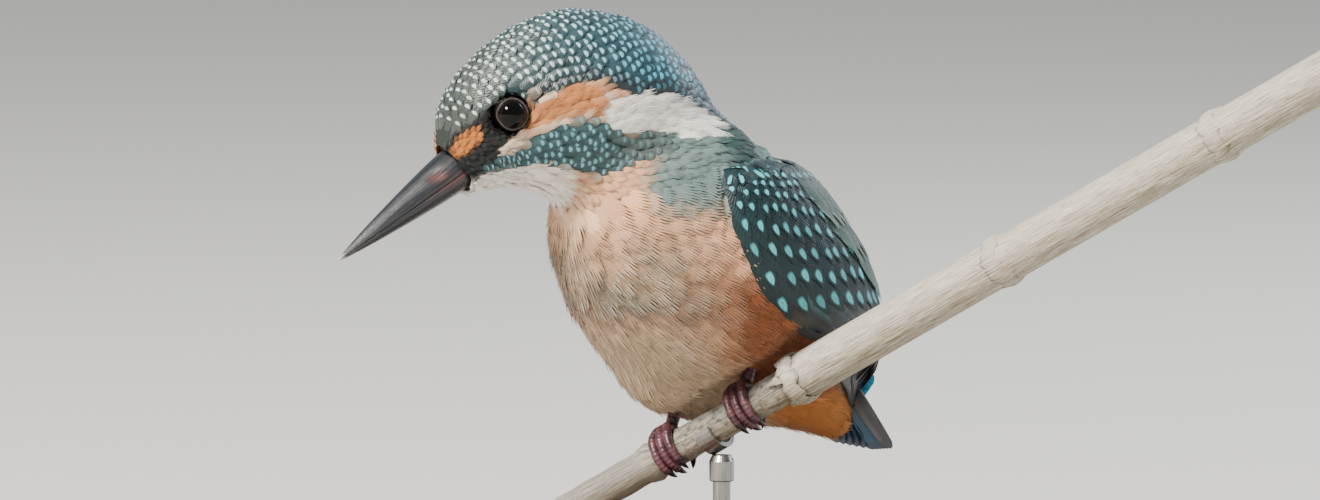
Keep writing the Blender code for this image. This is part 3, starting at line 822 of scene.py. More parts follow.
def make_skin(settings):
    """Fuses the flesh into one closed surface and sinks it by the coat's depth."""
    bm = cad_copy(FLESH)
    for vert in bm.verts:
        vert.co += vert.normal * SKIN_SWELL
    made = object_from("skin", bm)
    fuse = made.modifiers.new("fuse", "REMESH")
    fuse.mode = "VOXEL"
    fuse.voxel_size = settings.skin_grain
    soften = made.modifiers.new("soften", "SMOOTH")
    soften.factor = 0.6
    soften.iterations = 6
    fused = bpy.data.meshes.new_from_object(made.evaluated_get(bpy.context.evaluated_depsgraph_get()))
    made.modifiers.clear()
    made.data = fused
    made.data.name = "skin"
    ground = Ground(fused)
    zone = zones(ground.points)
    depth = settings.coat_depth / MM * (1 - 0.6 * zone["head"])
    points = ground.points - ground.normals * (SKIN_SWELL + depth)[:, None]
    fused.vertices.foreach_set("co", (points * MM).ravel())
    fused.update()
    fused.shade_smooth()
    base, _, _ = markings(points)
    # The skin takes the coat's colour darkened by SKIN_SHADE: painted shade in the gaps between the feathers.
    colour_layer(fused, "coat_base", np.column_stack((base * SKIN_SHADE, np.ones(len(base)))))
    fused.materials.clear()
    fused.materials.append(skin_material())
    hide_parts(*FLESH)
    STORE["ground"] = Ground(fused)
    return made


# --- Coat ---------------------------------------------------------------------------------------------------

ROOTS_TRIED = 60000
CAP_EDGE = 0.55
CROWN_EYE_GAP = 3.4
FACE_EYE_GAP = 3.15
BILL_GAP = 4.6
BREAST_FLOOR = 58
WING_TOP = 76.5
WING_EDGE = 0.35
WING_SQUEEZE = 0.45
WING_SLANT = 0.16


def wing_edges(along):
    """The front and rear edge of the folded wing, each as angle and height."""
    return (curve_row(edge, along * (len(edge) - 1)) for edge in (WING_FRONT, WING_REAR))


def wing_place(along, across, side, ground):
    """A place on the folded wing, from shoulder to tip and from its front edge to its rear."""
    front, rear = wing_edges(np.clip(along, 0, 1))
    angle, height = front + (rear - front) * across
    turn = math.radians(angle * side)
    forward, left = (np.interp(height, TRUNK_LINE[:, 0], TRUNK_LINE[:, i]) for i in (1, 2))
    centre = body_point(forward, left, height)
    return ground.cast(centre, math.cos(turn) * BODY_FORWARD + math.sin(turn) * BODY_LEFT)


def on_wing(points):
    """Whether each place is under the folded wing, from 0 to 1."""
    angle, height = body_places(points)
    front, rear = (np.array(edge) for edge in zip(*(wing_edges(share) for share in np.linspace(0, 1, 40))))
    outline = np.concatenate((front, rear[::-1]))
    return inside(outline * (WING_SQUEEZE, 1.0), np.abs(angle) * WING_SQUEEZE, height, 0.8)


def on_face(zone):
    """Whether each place is on the head or throat."""
    patches = [zone[name] > 0.3 for name in ("neck_patch", "malar", "throat", "ear")]
    return (zone["head"] > 0.4) | np.any(patches, axis=0)


def near_eye(points):
    """How far each place is from the nearer eye's middle."""
    eyes = [head_point(*EYE_PLACE, EYE_SPREAD * side) for side in (1, -1)]
    return np.minimum(*(np.linalg.norm(points - eye, axis=1) for eye in eyes))


def in_bill(points):
    """Whether a place is where the bill comes out of the face."""
    root, tip = head_point(*BILL_START), head_point(*BILL_TIP)
    axis = unit(tip - root)
    along = (points - root) @ axis
    off = np.linalg.norm(points - root - along[:, None] * axis, axis=1)
    return (along > -0.6) & (off < BILL_GAP)


def near_reed(points):
    """How far each place is from the reed's middle line."""
    away = points - GRIP
    along = away @ REED_ALONG
    return np.linalg.norm(away - along[:, None] * REED_ALONG, axis=1)


def cap_roots(ground, settings):
    """Rows of roots over the crown from the bill back to the nape, each row half a step on from the last."""
    centre = head_point(0.0, -4.0)
    bill, tail = head_point(*BILL_START) + HEAD_FORWARD * 2.0, body_point(*TAIL_TIP)
    columns = []
    for aside in np.radians(np.arange(-86, 87, 2)):
        column = []
        for pitch in np.radians(np.arange(-40, 184, 2.5)):
            ahead = math.cos(pitch) * HEAD_FORWARD + math.sin(pitch) * UP
            hit = ground.cast(centre, math.cos(aside) * ahead + math.sin(aside) * HEAD_LEFT)
            if hit:
                column.append(hit[0])
        column = np.array(column)
        near, far = np.linalg.norm(column - bill, axis=1), np.linalg.norm(column - tail, axis=1)
        level = near / (near + far)
        first = int(np.argmin(level))
        column, level = column[first:], np.maximum.accumulate(level[first:])
        columns.append((column, level + np.arange(len(column)) * 1e-7))
    middle, levels = columns[len(columns) // 2]
    run = run_along(middle)
    step = settings.crown_step / MM
    roots = []
    for row, level in enumerate(np.interp(np.arange(2.0, run[-1], step), run, levels)):
        line = np.array([
            [np.interp(level, known, column[:, i]) for i in range(3)]
            for column, known in columns if known[0] < level < known[-1]
        ])
        if len(line) < 3:
            continue
        run_across = run_along(line)
        start = step * (0.5 if row % 2 else 0.0)
        spots = np.arange(start, run_across[-1], step * 1.04)
        roots.append(np.stack([np.interp(spots, run_across, line[:, i]) for i in range(3)], axis=1))
    roots, normals = ground.nearest(np.concatenate(roots))
    return roots, normals, lie(roots, normals)


def make_head_coat(settings):
    """The spotted cap in rows, and the small feathers of face, cheeks and throat."""
    ground = STORE["ground"]
    rng = np.random.default_rng(settings.seed)
    crown = feather_material("barred_crown_feathers", "bar", barbs=5.0, roughness=0.42, gloss=0.55)
    roots, normals, ways = cap_roots(ground, settings)
    zone = zones(roots)
    keep = (zone["cap"] > CAP_EDGE) & (near_eye(roots) > CROWN_EYE_GAP) & ~in_bill(roots)
    roots, normals, ways = pick(keep, roots, normals, ways)
    roots, _ = ground.nearest(roots + rng.normal(0, 0.1, (len(roots), 3)))
    base, mark, amount = markings(roots)
    back, _ = side_places(roots)
    rear = ease(4.0, 26.0, back)
    amount = amount * (1 - 0.25 * rear) * rng.uniform(0.7, 1.0, len(roots))
    grow("crown_feathers", ground, vane_template(4, 6, 0.6, 0.07), roots, normals, ways, 3.2 + 0.9 * rear, 2.05,
         tinted(base, rng, 0.16), tinted(mark, rng, 0.1), amount, rng, crown, lift=(0.1, 0.62), camber=0.16, stray=3.5)

    points, normals = ground.scatter(rng, ROOTS_TRIED)
    zone = zones(points)
    ahead = ease(1.0, -4.0, zone["back"]) * zone["head"]
    face = np.maximum.reduce([zone["lore"], zone["face"], zone["dark"], ahead])
    spacing = 1.15 - 0.5 * np.clip(face, 0, 1) - 0.1 * zone["ear"]
    part = on_face(zone) & (zone["cap"] <= CAP_EDGE) & (near_eye(points) > FACE_EYE_GAP) & ~in_bill(points)
    points, normals, spacing, face = pick(part, points, normals, spacing, face)
    points, normals, face = pick(thin_out(points, spacing, rng), points, normals, face)
    zone = zones(points)
    base, mark, amount = markings(points, zone)
    long = 3.4 - 2.0 * face + 1.9 * zone["neck_patch"] + 1.0 * zone["throat"] + 0.7 * zone["ear"]
    barred = (zone["malar"] > 0.5) & (zone["neck_patch"] < 0.4) & (zone["ear"] < 0.5)
    scaly = feather_material("barred_cheek_feathers", "bar", barbs=5.0, roughness=0.5, gloss=0.45)
    plain = feather_material("soft_face_feathers", "fringe", barbs=11.0, roughness=0.7, gloss=0.25)
    ways = lie(points, normals)
    grow("cheek_feathers", ground, vane_template(4, 5, 0.6, 0.07), *pick(barred, points, normals, ways),
         long[barred] * 0.95, 1.9, tinted(base[barred], rng), tinted(mark[barred], rng), amount[barred], rng, scaly,
         lift=(0.1, 0.55), camber=0.14, stray=7)
    soft = ~barred
    grow("face_feathers", ground, plume_template(7, 2, 0.8, 0.13), *pick(soft, points, normals, ways, long),
         0.55 + 0.3 * long[soft], tinted(base[soft], rng, 0.07), mark[soft], amount[soft] * 0.4, rng, plain,
         lift=(0.05, 0.5), camber=0.1, stray=8)


def make_body_coat(settings):
    """Soft loose feathers over breast, belly, flanks, vent and back."""
    ground = STORE["ground"]
    rng = np.random.default_rng(settings.seed + 1)
    points, normals = ground.scatter(rng, ROOTS_TRIED)
    zone = zones(points)
    headed = on_face(zone) | (zone["cap"] > CAP_EDGE)
    part = ~headed & ((on_wing(points) < WING_EDGE) | (points[:, 2] > WING_TOP))
    points, normals = pick(part, points, normals)
    zone = zones(points)
    upper = np.maximum(zone["mantle"], zone["rump"])
    spacing = settings.body_step / MM * (1 - 0.12 * upper)
    points, normals = pick(thin_out(points, spacing, rng), points, normals)
    zone = zones(points)
    upper = np.maximum(zone["mantle"], zone["rump"])
    base, mark, amount = markings(points, zone)
    ways = lie(points, normals)
    long = 6.0 + 1.2 * zone["flank"] + 1.0 * zone["undertail"] - 1.4 * upper + 0.6 * zone["low"]
    long = long - 1.0 * zone["side_neck"]
    near = ease(12.0, 6.5, near_reed(points))
    tucked = on_wing(points + ways * long[:, None])
    long = long * (1 - 0.25 * near) * (1 - 0.5 * tucked)
    soft = upper < 0.5
    loose = feather_material("soft_breast_feathers", "fringe", barbs=15.0, roughness=0.78, gloss=0.2)
    glossy = feather_material("glossy_back_feathers", "fringe", barbs=7.0, roughness=0.45, gloss=0.5)
    high = points[:, 2] > BREAST_FLOOR
    for name, chosen in (("breast_feathers", soft & high), ("belly_feathers", soft & ~high)):
        grow(name, ground, plume_template(9, 2, 0.85, 0.1), *pick(chosen, points, normals, ways, long),
             4.6, tinted(base[chosen], rng, 0.09), tinted(mark[chosen], rng, 0.1), amount[chosen], rng, loose,
             lift=(0.3, 1.3), camber=0.12, stray=7)
    grow("back_feathers", ground, vane_template(4, 6, 0.7), *pick(~soft, points, normals, ways, long),
         3.6, tinted(base[~soft], rng, 0.12), tinted(mark[~soft], rng, 0.1), amount[~soft], rng, glossy,
         lift=(0.15, 1.2), camber=0.14, stray=6)


def ribbon_feathers(name, lines, widths, base, mark, amount, material, lift, patch, rows, thick=0.0):
    """Long feathers along given lines of (point, normal), flat vanes joined in one mesh."""
    template = vane_template(4, rows, 0.5, 0.06) if thick else vane_template(4, rows, 0.8)
    stations = len(lines[0])
    points = np.array([[p for p, _ in line] for line in lines])
    normals = np.array([[n for _, n in line] for line in lines])
    place = template["along"] * (stations - 1)
    low = np.clip(place.astype(int), 0, stations - 2)
    share = (place - low)[None, :, None]
    centre = points[:, low] * (1 - share) + points[:, low + 1] * share
    outward = unit(normals[:, low] * (1 - share) + normals[:, low + 1] * share)
    smooth = np.gradient(points, axis=1)
    run = unit(smooth[:, low] * (1 - share) + smooth[:, low + 1] * share)
    side = unit(np.cross(outward, run))
    across = template["across"][None, :, None]
    camber = 0.08 * widths[:, None] * template["across"][None, :] ** 2
    tall = (lift[:, None] + 0.35 * template["along"][None, :] - camber)[..., None]
    spots = centre + side * across * widths[:, None, None] / 2 + outward * tall
    bm = bmesh.new()
    vane = bm.loops.layers.uv.new("vane")
    baked = bm.loops.layers.uv.new("OFBake")
    layers = [bm.verts.layers.float_color.new(label) for label in ("coat_base", "coat_mark")]
    cells = bake_patches(unwrap(points[:, 0]), patch)
    for i in range(len(lines)):
        made = [bm.verts.new(spot) for spot in spots[i]]
        for vert in made:
            vert[layers[0]] = (*base[i], 1.0)
            vert[layers[1]] = (*mark[i], amount[i])
        for order in template["faces"]:
            face = bm.faces.new([made[j] for j in order])
            for loop, j in zip(face.loops, order):
                loop[vane].uv = (template["u"][j] / 2 + 0.5, template["v"][j])
                inner = (template["across"][j] / 2 + 0.5, template["along"][j])
                loop[baked].uv = (cells[i][0] + inner[0] * patch, cells[i][1] + inner[1] * patch)
    made = object_from(name, bm, material)
    if thick:
        solid = made.modifiers.new("thickness", "SOLIDIFY")
        solid.thickness = thick
        solid.offset = 0.0
    return made


def make_wing(settings, side, name):
    """Coverts in slanting rows with bright tips, scapulars above them, and the long flight feathers below."""
    ground = STORE["ground"]
    rng = np.random.default_rng(settings.seed + 2)
    spotted = feather_material(f"wing_covert_feathers_{name}", "dot", barbs=9.0, roughness=0.5, gloss=0.3)
    plain = feather_material(f"wing_flight_feathers_{name}", "edge", barbs=40.0, roughness=0.42, gloss=0.5)
    scap = feather_material(f"scapular_feathers_{name}", "fringe", barbs=14.0, roughness=0.5, gloss=0.4)
    groups = {"coverts": [], "flight": [], "scapulars": []}

    def line_on_wing(start, across, length, drift):
        line = []
        for share in np.linspace(0, 1, 6):
            hit = wing_place(start + WING_SLANT * across + length * share, across + drift * share, side, ground)
            if hit is None:
                return None
            line.append(hit)
        return line

    rows = (
        # start along the wing, length along it, feathers in the row, width, lift, group
        (0.40, 0.58, 9, 5.2, 0.95, "flight"), (0.34, 0.46, 8, 5.4, 1.08, "flight"),
        (0.30, 0.34, 9, 5.4, 1.2, "flight"), (0.24, 0.25, 11, 4.9, 1.32, "coverts"),
        (0.19, 0.20, 12, 4.4, 1.42, "coverts"), (0.14, 0.165, 13, 3.9, 1.5, "coverts"),
        (0.09, 0.145, 14, 3.5, 1.57, "coverts"), (0.045, 0.13, 15, 3.2, 1.64, "coverts"),
        (0.0, 0.12, 15, 3.0, 1.7, "coverts"), (-0.05, 0.12, 14, 2.9, 1.75, "coverts"),
        (-0.09, 0.12, 13, 2.9, 1.8, "coverts"),
    )
    for start, length, number, width, lift, group in rows:
        for i in range(number):
            across = 0.04 + 0.9 * (i + rng.uniform(-0.15, 0.15)) / (number - 1)
            drift = 0.0 if group == "coverts" else (0.55 - across) * 0.3
            line = line_on_wing(start + rng.uniform(-0.008, 0.008), across, length, drift)
            if line:
                groups[group].append((line, width * rng.uniform(0.92, 1.08), lift + 0.12 * (i / number)))
    scapular_rows = ((0.12, 0.34, 6, 0.70), (0.05, 0.27, 7, 0.66), (-0.02, 0.22, 7, 0.62))
    for rank, (start, length, number, low) in enumerate(scapular_rows):
        for i in range(number):
            across = low + (1.04 - low) * (i + rng.uniform(-0.1, 0.1)) / (number - 1)
            line = line_on_wing(start, across, length, 0.0)
            if line:
                groups["scapulars"].append((line, 4.8 - 0.4 * rank, 1.85 + 0.12 * rank))
    tones = {
        "coverts": ("covert", "covert_spot", 0.95, spotted, 0.02, 6),
        "flight": ("remex", "remex_edge", 0.8, plain, 0.05, 12),
        # The scapulars' pale tips are a painted highlight of light from above.
        "scapulars": ("scapular", "scapular_highlight_tip", 0.5, scap, 0.03, 7),
    }
    for group, (tone, tip, amount, material, patch, rows_along) in tones.items():
        lines, widths, lifts = zip(*groups[group])
        count = len(lines)
        base, mark = (tinted(painted(colour, count), rng, 0.12) for colour in (tone, tip))
        amounts = np.full(count, amount) * rng.uniform(0.7, 1.0, count)
        piece = ribbon_feathers(f"wing_{name}_{group}", lines, np.array(widths), base, mark, amounts, material,
                                np.array(lifts), patch, rows_along)


def make_tail(settings):
    """Twelve closed tail feathers, blue above and dusky below."""
    rng = np.random.default_rng(settings.seed + 4)
    root, tip = body_point(*TAIL_ROOT), body_point(*TAIL_TIP)
    along = unit(tip - root)
    above = unit(np.cross(BODY_LEFT, along))
    if above @ BODY_FORWARD > 0:
        above = -above
    lines = []
    count = 12
    for i in range(count):
        pair, hand = i // 2, 1 if i % 2 else -1
        shift = hand * (0.4 + 1.0 * pair)
        length = np.linalg.norm(tip - root) * (1.0 - 0.012 * pair)
        way = unit(along + BODY_LEFT * hand * 0.012 * pair)
        start = root + BODY_LEFT * shift * 0.9 - above * 0.26 * pair
        lines.append([(start + way * length * share, above) for share in np.linspace(0, 1, 8)])
    material = feather_material("tail_feathers", "edge", barbs=60.0, roughness=0.4, gloss=0.5)
    under = (np.arange(count) >= count - 2).astype(float)
    base, mark = (
        tinted(blend(painted(top, count), paint(low), under), rng, 0.08)
        for top, low in (("tail", "tail_under"), ("tail_edge", "tail_under_edge"))
    )
    made = ribbon_feathers("tail_feathers", lines, np.full(count, 4.6), base, mark, np.full(count, 0.7), material,
                           np.full(count, 0.3), patch=0.1, rows=12, thick=0.00025)
    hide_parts("tail")


# --- Bill ---------------------------------------------------------------------------------------------------

LOWER_DEPTH = 0.86
NOSTRIL = (0.27, 0.52)


def bill_material():
    """Horn over bone, worn smooth: satin, slate above, with fine lines along it and a pale tip."""
    made, tree, shader = new_material(
        "bill_horn_keratin", Roughness=0.3, IOR=1.5, Coat_Weight=0.25, Coat_Roughness=0.15,
    )
    place, _, along = uv_place(tree, "bill")
    grain = noise(tree, stretched(tree, place, (34.0, 2.2, 1.0)), 1.0, 5.0, 0.6)
    blotch = noise(tree, object_place(tree), 260.0, 3.0)
    colour = ramp(tree, along, (
        (0.0, "#15181c"), (0.25, "#121418"), (0.7, "#14171b"), (0.95, "#2f3031"), (0.985, "#a8a398"), (1.0, "#dcd6c9"),
    ))
    colour = mixed(tree, mapped(tree, grain, 0.35, 0.75, 0.0, 0.2), colour, opaque("#66707c"))
    colour = mixed(tree, attribute(tree, "gape"), colour, opaque("#6b3a36"))
    use(tree, shader, Base_Color=colour, Roughness=mapped(tree, blotch, to_low=0.22, to_high=0.46))
    rough = maths(tree, "ADD", maths(tree, "MULTIPLY", grain, 0.7), maths(tree, "MULTIPLY", blotch, 0.5))
    bump(tree, shader, rough, 0.00012)
    return made


def make_bill(settings):
    """Both halves of the bill, with a ridge, cutting edges and nostril slits."""
    material = bill_material()
    root, tip = head_point(*BILL_ROOT), head_point(*BILL_TIP)
    along = unit(tip - root)
    above = unit(np.cross(HEAD_LEFT, along))
    above = above if above[2] > 0 else -above
    profile = (
        # share of the length, height, half the width
        (0.0, 4.4, 4.3), (0.2, 4.1, 3.9), (0.4, 3.4, 3.1), (0.6, 2.5, 2.3), (0.8, 1.5, 1.4), (0.93, 0.7, 0.7),
        (1.0, 0.2, 0.22),
    )
    for upper, name in ((True, "bill_upper"), (False, "bill_lower")):
        facing = above if upper else -above
        bm = bmesh.new()
        uv = bm.loops.layers.uv.new("bill")
        gape = bm.verts.layers.float.new("gape")
        rings = []
        steps = 46
        for i in range(steps):
            share, height, half = curve_row(profile, (len(profile) - 1) * i / (steps - 1))
            depth = height if upper else height * LOWER_DEPTH
            rings.append((root + (tip - root) * min(share, 1.0), HEAD_LEFT * half, facing * depth, share))
        rows = loft(bm, [(c, s, t) for c, s, t, _ in rings], 28)
        where = {}
        for row, (centre, side, top, share) in zip(rows, rings):
            depth, half = np.linalg.norm(top), np.linalg.norm(side)
            for vert in row:
                off = np.array(vert.co) - centre
                x, y = off @ HEAD_LEFT / half, off @ facing / depth
                where[vert] = (math.atan2(y, x) / math.pi, share)
                if y < 0:
                    y = 0.0
                pinch = 1 - 0.22 * max(0.0, y) ** 2 * (0.4 + 0.6 * share)
                vert.co = Vector(centre + HEAD_LEFT * x * half * pinch + facing * (y * depth + CLEAR * 0.12))
                mark = max(0.0, 1 - abs(y) * 4) * max(0.0, 1 - share * 2.2)
                if upper:
                    ahead, over = share - NOSTRIL[0], y - NOSTRIL[1]
                    slit = math.exp(-(ahead / 0.045) ** 2 - ((over - ahead * 1.2) / 0.13) ** 2)
                    vert.co -= Vector(unit(HEAD_LEFT * x + facing * y)) * 0.55 * slit
                    mark = max(mark * 0.5, slit)
                vert[gape] = mark
        for face in bm.faces:
            for loop in face.loops:
                loop[uv].uv = where.get(loop.vert, (0.0, 0.0))
        bmesh.ops.remove_doubles(bm, verts=bm.verts, dist=0.004)
        face_out(bm)
        made = object_from(name + "_horn", bm, material)
        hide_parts(name)


# --- Eyes ---------------------------------------------------------------------------------------------------

def make_eyes(settings):
    """A dark glossy eye with a domed cornea, ringed by thin lids."""
    ball, tree, shader = new_material(
        "wet_cornea_over_dark_iris", Roughness=0.03, IOR=1.36, Specular_IOR_Level=0.32,
    )
    use(tree, shader, Base_Color=ramp(tree, attribute(tree, "from_pupil"), (
        (0.0, "#030303"), (0.42, "#040303"), (0.50, "#0f0907"), (0.72, "#140c08"), (0.9, "#070505"),
    )))
    lid, tree, shader = new_material("bare_lid_skin", Roughness=0.5, Coat_Weight=0.25, Coat_Roughness=0.3)
    grain = noise(tree, object_place(tree), 2600.0, 3.0)
    use(tree, shader, Base_Color=ramp(tree, grain, ((0.3, "#151211"), (0.75, "#4a423d"))))
    bump(tree, shader, grain, 0.0001)
    radius = settings.eye_radius / MM
    for side, hand in (("left", 1), ("right", -1)):
        centre = head_point(*EYE_PLACE, EYE_SPREAD * hand)
        gaze = unit(HEAD_LEFT * hand + 0.22 * HEAD_FORWARD + 0.05 * UP)
        across = unit(HEAD_FORWARD - gaze * (HEAD_FORWARD @ gaze))
        upright = np.cross(across, gaze) * hand
        bm = bmesh.new()
        bmesh.ops.create_uvsphere(bm, u_segments=40, v_segments=28, radius=1.0)
        pupil = bm.verts.layers.float.new("from_pupil")
        for vert in bm.verts:
            x, y, z = vert.co
            off = math.acos(max(-1.0, min(1.0, z))) / (math.pi / 2)
            dome = 1.0 + 0.05 * max(0.0, 1 - (off / 0.55) ** 2)
            vert[pupil] = off
            vert.co = Vector(centre + (across * x + upright * y + gaze * z * dome) * radius)
        face_out(bm)
        made = object_from(f"eye_{side}_ball", bm, ball)
        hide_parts(f"eye_{side}")
        bm = bmesh.new()
        rings = []
        steps = 40
        for i in range(steps):
            turn = 2 * math.pi * i / steps
            corner = abs(math.cos(turn)) ** 6
            open_wide, open_high = 2.45 + 0.25 * corner, 2.62
            x, y = math.cos(turn) * open_wide, math.sin(turn) * open_high
            rise = math.sqrt(max(0.1, radius ** 2 - x * x - y * y))
            spot = centre + across * x + upright * y + gaze * (rise + 0.02)
            outward = unit(across * x + upright * y)
            rings.append((spot, outward * 0.24, unit(spot - centre) * 0.2))
        loft(bm, rings, 10, closed=False)
        bmesh.ops.bridge_loops(bm, edges=[edge for edge in bm.edges if edge.is_boundary])
        face_out(bm)
        made = object_from(f"eye_{side}_lids", bm, lid)


# --- Feet ---------------------------------------------------------------------------------------------------

CLAW_SWEEP = 34.0
LEG_LENGTH = 10.6


def make_feet(settings):
    """Toes wrapped round the reed with pads and scales, short legs, and curved claws."""
    skin, tree, shader = new_material(
        "scaled_foot_skin", Roughness=0.42, Coat_Weight=0.3, Coat_Roughness=0.3, Subsurface_Weight=0.08,
        Subsurface_Scale=0.001,
    )
    _, _, height = uv_place(tree, "toe")
    rings = maths(tree, "SINE", maths(tree, "MULTIPLY", height, TURN * 1.35))
    place = object_place(tree)
    cells = add(tree, "ShaderNodeTexVoronoi", {"Vector": place, "Scale": 2600.0}).outputs["Distance"]
    colour = ramp(tree, noise(tree, place, 500.0, 3.0), ((0.3, "#2e1820"), (0.5, "#4d2a33"), (0.72, "#75464c")))
    dark = mapped(tree, rings, -1.0, -0.5, 0.08, 0.0)
    use(tree, shader, Base_Color=mixed(tree, dark, colour, opaque("#170c0e")))
    bump(tree, shader, maths(tree, "ADD", rings, maths(tree, "MULTIPLY", cells, 0.9)), 0.00003)
    horn, tree, shader = new_material("claw_horn_keratin", Roughness=0.28, Coat_Weight=0.5, Coat_Roughness=0.15)
    tone = noise(tree, object_place(tree), 900.0)
    use(tree, shader, Base_Color=ramp(tree, tone, ((0.35, "#0f0b0b"), (0.7, "#33282a"))))
    toes = {"inner": (-1.0, 128.0), "middle": (0.0, 150.0), "outer": (1.0, 140.0), "hind": (-0.6, -122.0)}
    for side, place in FOOT_PLACES.items():
        hand = 1.0 if side == "left" else -1.0
        foot, claws, leg = bmesh.new(), bmesh.new(), bmesh.new()
        for name, (order, end) in toes.items():
            sway = (TOE_PITCH if name != "hind" else 1.0) * order * hand
            hold = STEM_RADIUS + TOE_RADIUS + CLEAR * 0.55
            points, radii = [], []
            for i in range(19):
                share = i / 18
                swell = 1 + 0.05 * math.cos(share * 4 * 2 * math.pi)
                angle = ANKLE_ANGLE + (end - ANKLE_ANGLE) * share
                points.append(reed_point(place + sway * min(1.0, share * 2.5), angle, hold))
                radii.append(TOE_RADIUS * (1.0 - 0.22 * share) * swell)
            tube(foot, points, radii, 14, REED_ALONG)
            way = math.copysign(1.0, end - ANKLE_ANGLE)
            points = [
                reed_point(place + sway, end + way * (CLAW_SWEEP * i / 9 + 2.0), hold + 0.55 * (i / 9) - 0.15)
                for i in range(10)
            ]
            radii = [0.66 * (1 - (i / 9) ** 1.6 * 0.93) for i in range(10)]
            tube(claws, points, radii, 12, REED_ALONG, 0.8)
        ankle = reed_point(place, ANKLE_ANGLE, STEM_RADIUS + TOE_RADIUS + CLEAR)
        at_ankle = Matrix.Translation(Vector(ankle))
        bmesh.ops.create_icosphere(foot, subdivisions=3, radius=TOE_RADIUS * 1.4, matrix=at_ankle)
        lean = unit(UP * 0.9 - BODY_FORWARD * 0.42)
        points = [ankle + lean * (0.4 + LEG_LENGTH * i / 9) for i in range(10)]
        tube(leg, points, [1.15 + 0.03 * i for i in range(10)], 16, REED_ALONG)
        for bm in (foot, leg):
            uv = bm.loops.layers.uv.new("toe")
            for face in bm.faces:
                for loop in face.loops:
                    off = np.array(loop.vert.co) - reed_point(place)
                    turn = math.atan2(off @ REED_FRONT, off @ REED_TOP)
                    height = off @ lean if bm is leg else turn * 4.4
                    loop[uv].uv = (off @ REED_ALONG, height)
        for name, bm, material, nodes, slot in (
            (f"foot_{side}_toes", foot, skin, [f"foot_{side}"], "foot_skin"),
            (f"leg_{side}_shank", leg, skin, [f"leg_{side}"], "foot_skin"),
            (f"foot_{side}_claws", claws, horn, [f"claw_{side}_{toe}" for toe in toes], "claw_horn"),
        ):
            made = object_from(name, bm, material)
            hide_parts(*nodes)


# --- Perch --------------------------------------------------------------------------------------------------

MAP_RADIUS = 3.6
SHEATH_WALL = 0.00035


def reed_material(name, pale, mid, dark, mottle):
    """Dry grass stem bleached by weather: matt, with fibres along it and grey blotches of mould."""
    made, tree, shader = new_material(name, Roughness=0.62, Specular_IOR_Level=0.35)
    place, _, _ = uv_place(tree, "reed")
    lines = noise(tree, stretched(tree, place, (3.2, 0.09, 1.0)), 1.6, 6.0, 0.75)
    spots = noise(tree, stretched(tree, place, (0.55, 0.35, 1.0)), 1.5, 7.0, 0.7)
    colour = ramp(tree, lines, ((0.38, dark), (0.47, mid), (0.56, pale)))
    blot = mapped(tree, spots, 0.48, 0.6, to_high=mottle)
    # Grey blotches, strongest on the stretch round the grip.
    colour = mixed(tree, maths(tree, "MULTIPLY", blot, attribute(tree, "grey_blotches")), colour, opaque("#4d463d"))
    # The underside is darker ochre in streaks: partly weathering, partly painted shade.
    ochre_and_shade_streaks = mapped(tree, lines, 0.35, 0.6, 1.0, 0.25)
    colour = mixed(tree, maths(tree, "MULTIPLY", attribute(tree, "ochre_and_shaded_underside"), ochre_and_shade_streaks), colour, opaque("#7d6a49"))
    use(tree, shader, Base_Color=colour)
    bump(tree, shader, maths(tree, "ADD", lines, maths(tree, "MULTIPLY", spots, 0.6)), 0.0003)
    return made


def reed_turn(vert):
    """How far round the reed a corner is, in radians from its top."""
    off = np.array(vert.co) - GRIP
    return math.atan2(off @ REED_FRONT, off @ REED_TOP)


def reed_ring(along, radius):
    return reed_point(along), REED_FRONT * radius, REED_TOP * radius


def joint(along, width, shift=0.0):
    """How near a place is to one of the reed's joints, from 0 to 1."""
    return max(math.exp(-((along - node + shift) / width) ** 2) for node in REED_NODES)


def reed_uv(bm):
    """Wraps the reed's map in millimetres: round it across, and along it upward."""
    uv = bm.loops.layers.uv.new("reed")
    grey_blotches = bm.verts.layers.float.new("grey_blotches")
    low = bm.verts.layers.float.new("ochre_and_shaded_underside")
    for vert in bm.verts:
        off = np.array(vert.co) - GRIP
        along = off @ REED_ALONG
        # From 0 on top to 1 underneath: where the underside's ochre weathering and painted shade go.
        vert[low] = float(ease(0.5, -0.8, off @ REED_TOP / 4.0))
        # Grey blotches: weak everywhere, strongest on the stretch round the grip.
        vert[grey_blotches] = 0.2 + 0.8 * float(ease(-14.0, -8.0, np.array(along)) * ease(30.0, 22.0, np.array(along)))
    for face in bm.faces:
        turns = []
        for loop in face.loops:
            off = np.array(loop.vert.co) - GRIP
            turns.append(math.atan2(off @ REED_FRONT, -(off @ REED_TOP)))
        if max(turns) - min(turns) > math.pi:
            turns = [turn + 2 * math.pi if turn < 0 else turn for turn in turns]
        for loop, turn in zip(face.loops, turns):
            loop[uv].uv = (turn * MAP_RADIUS, (np.array(loop.vert.co) - GRIP) @ REED_ALONG)


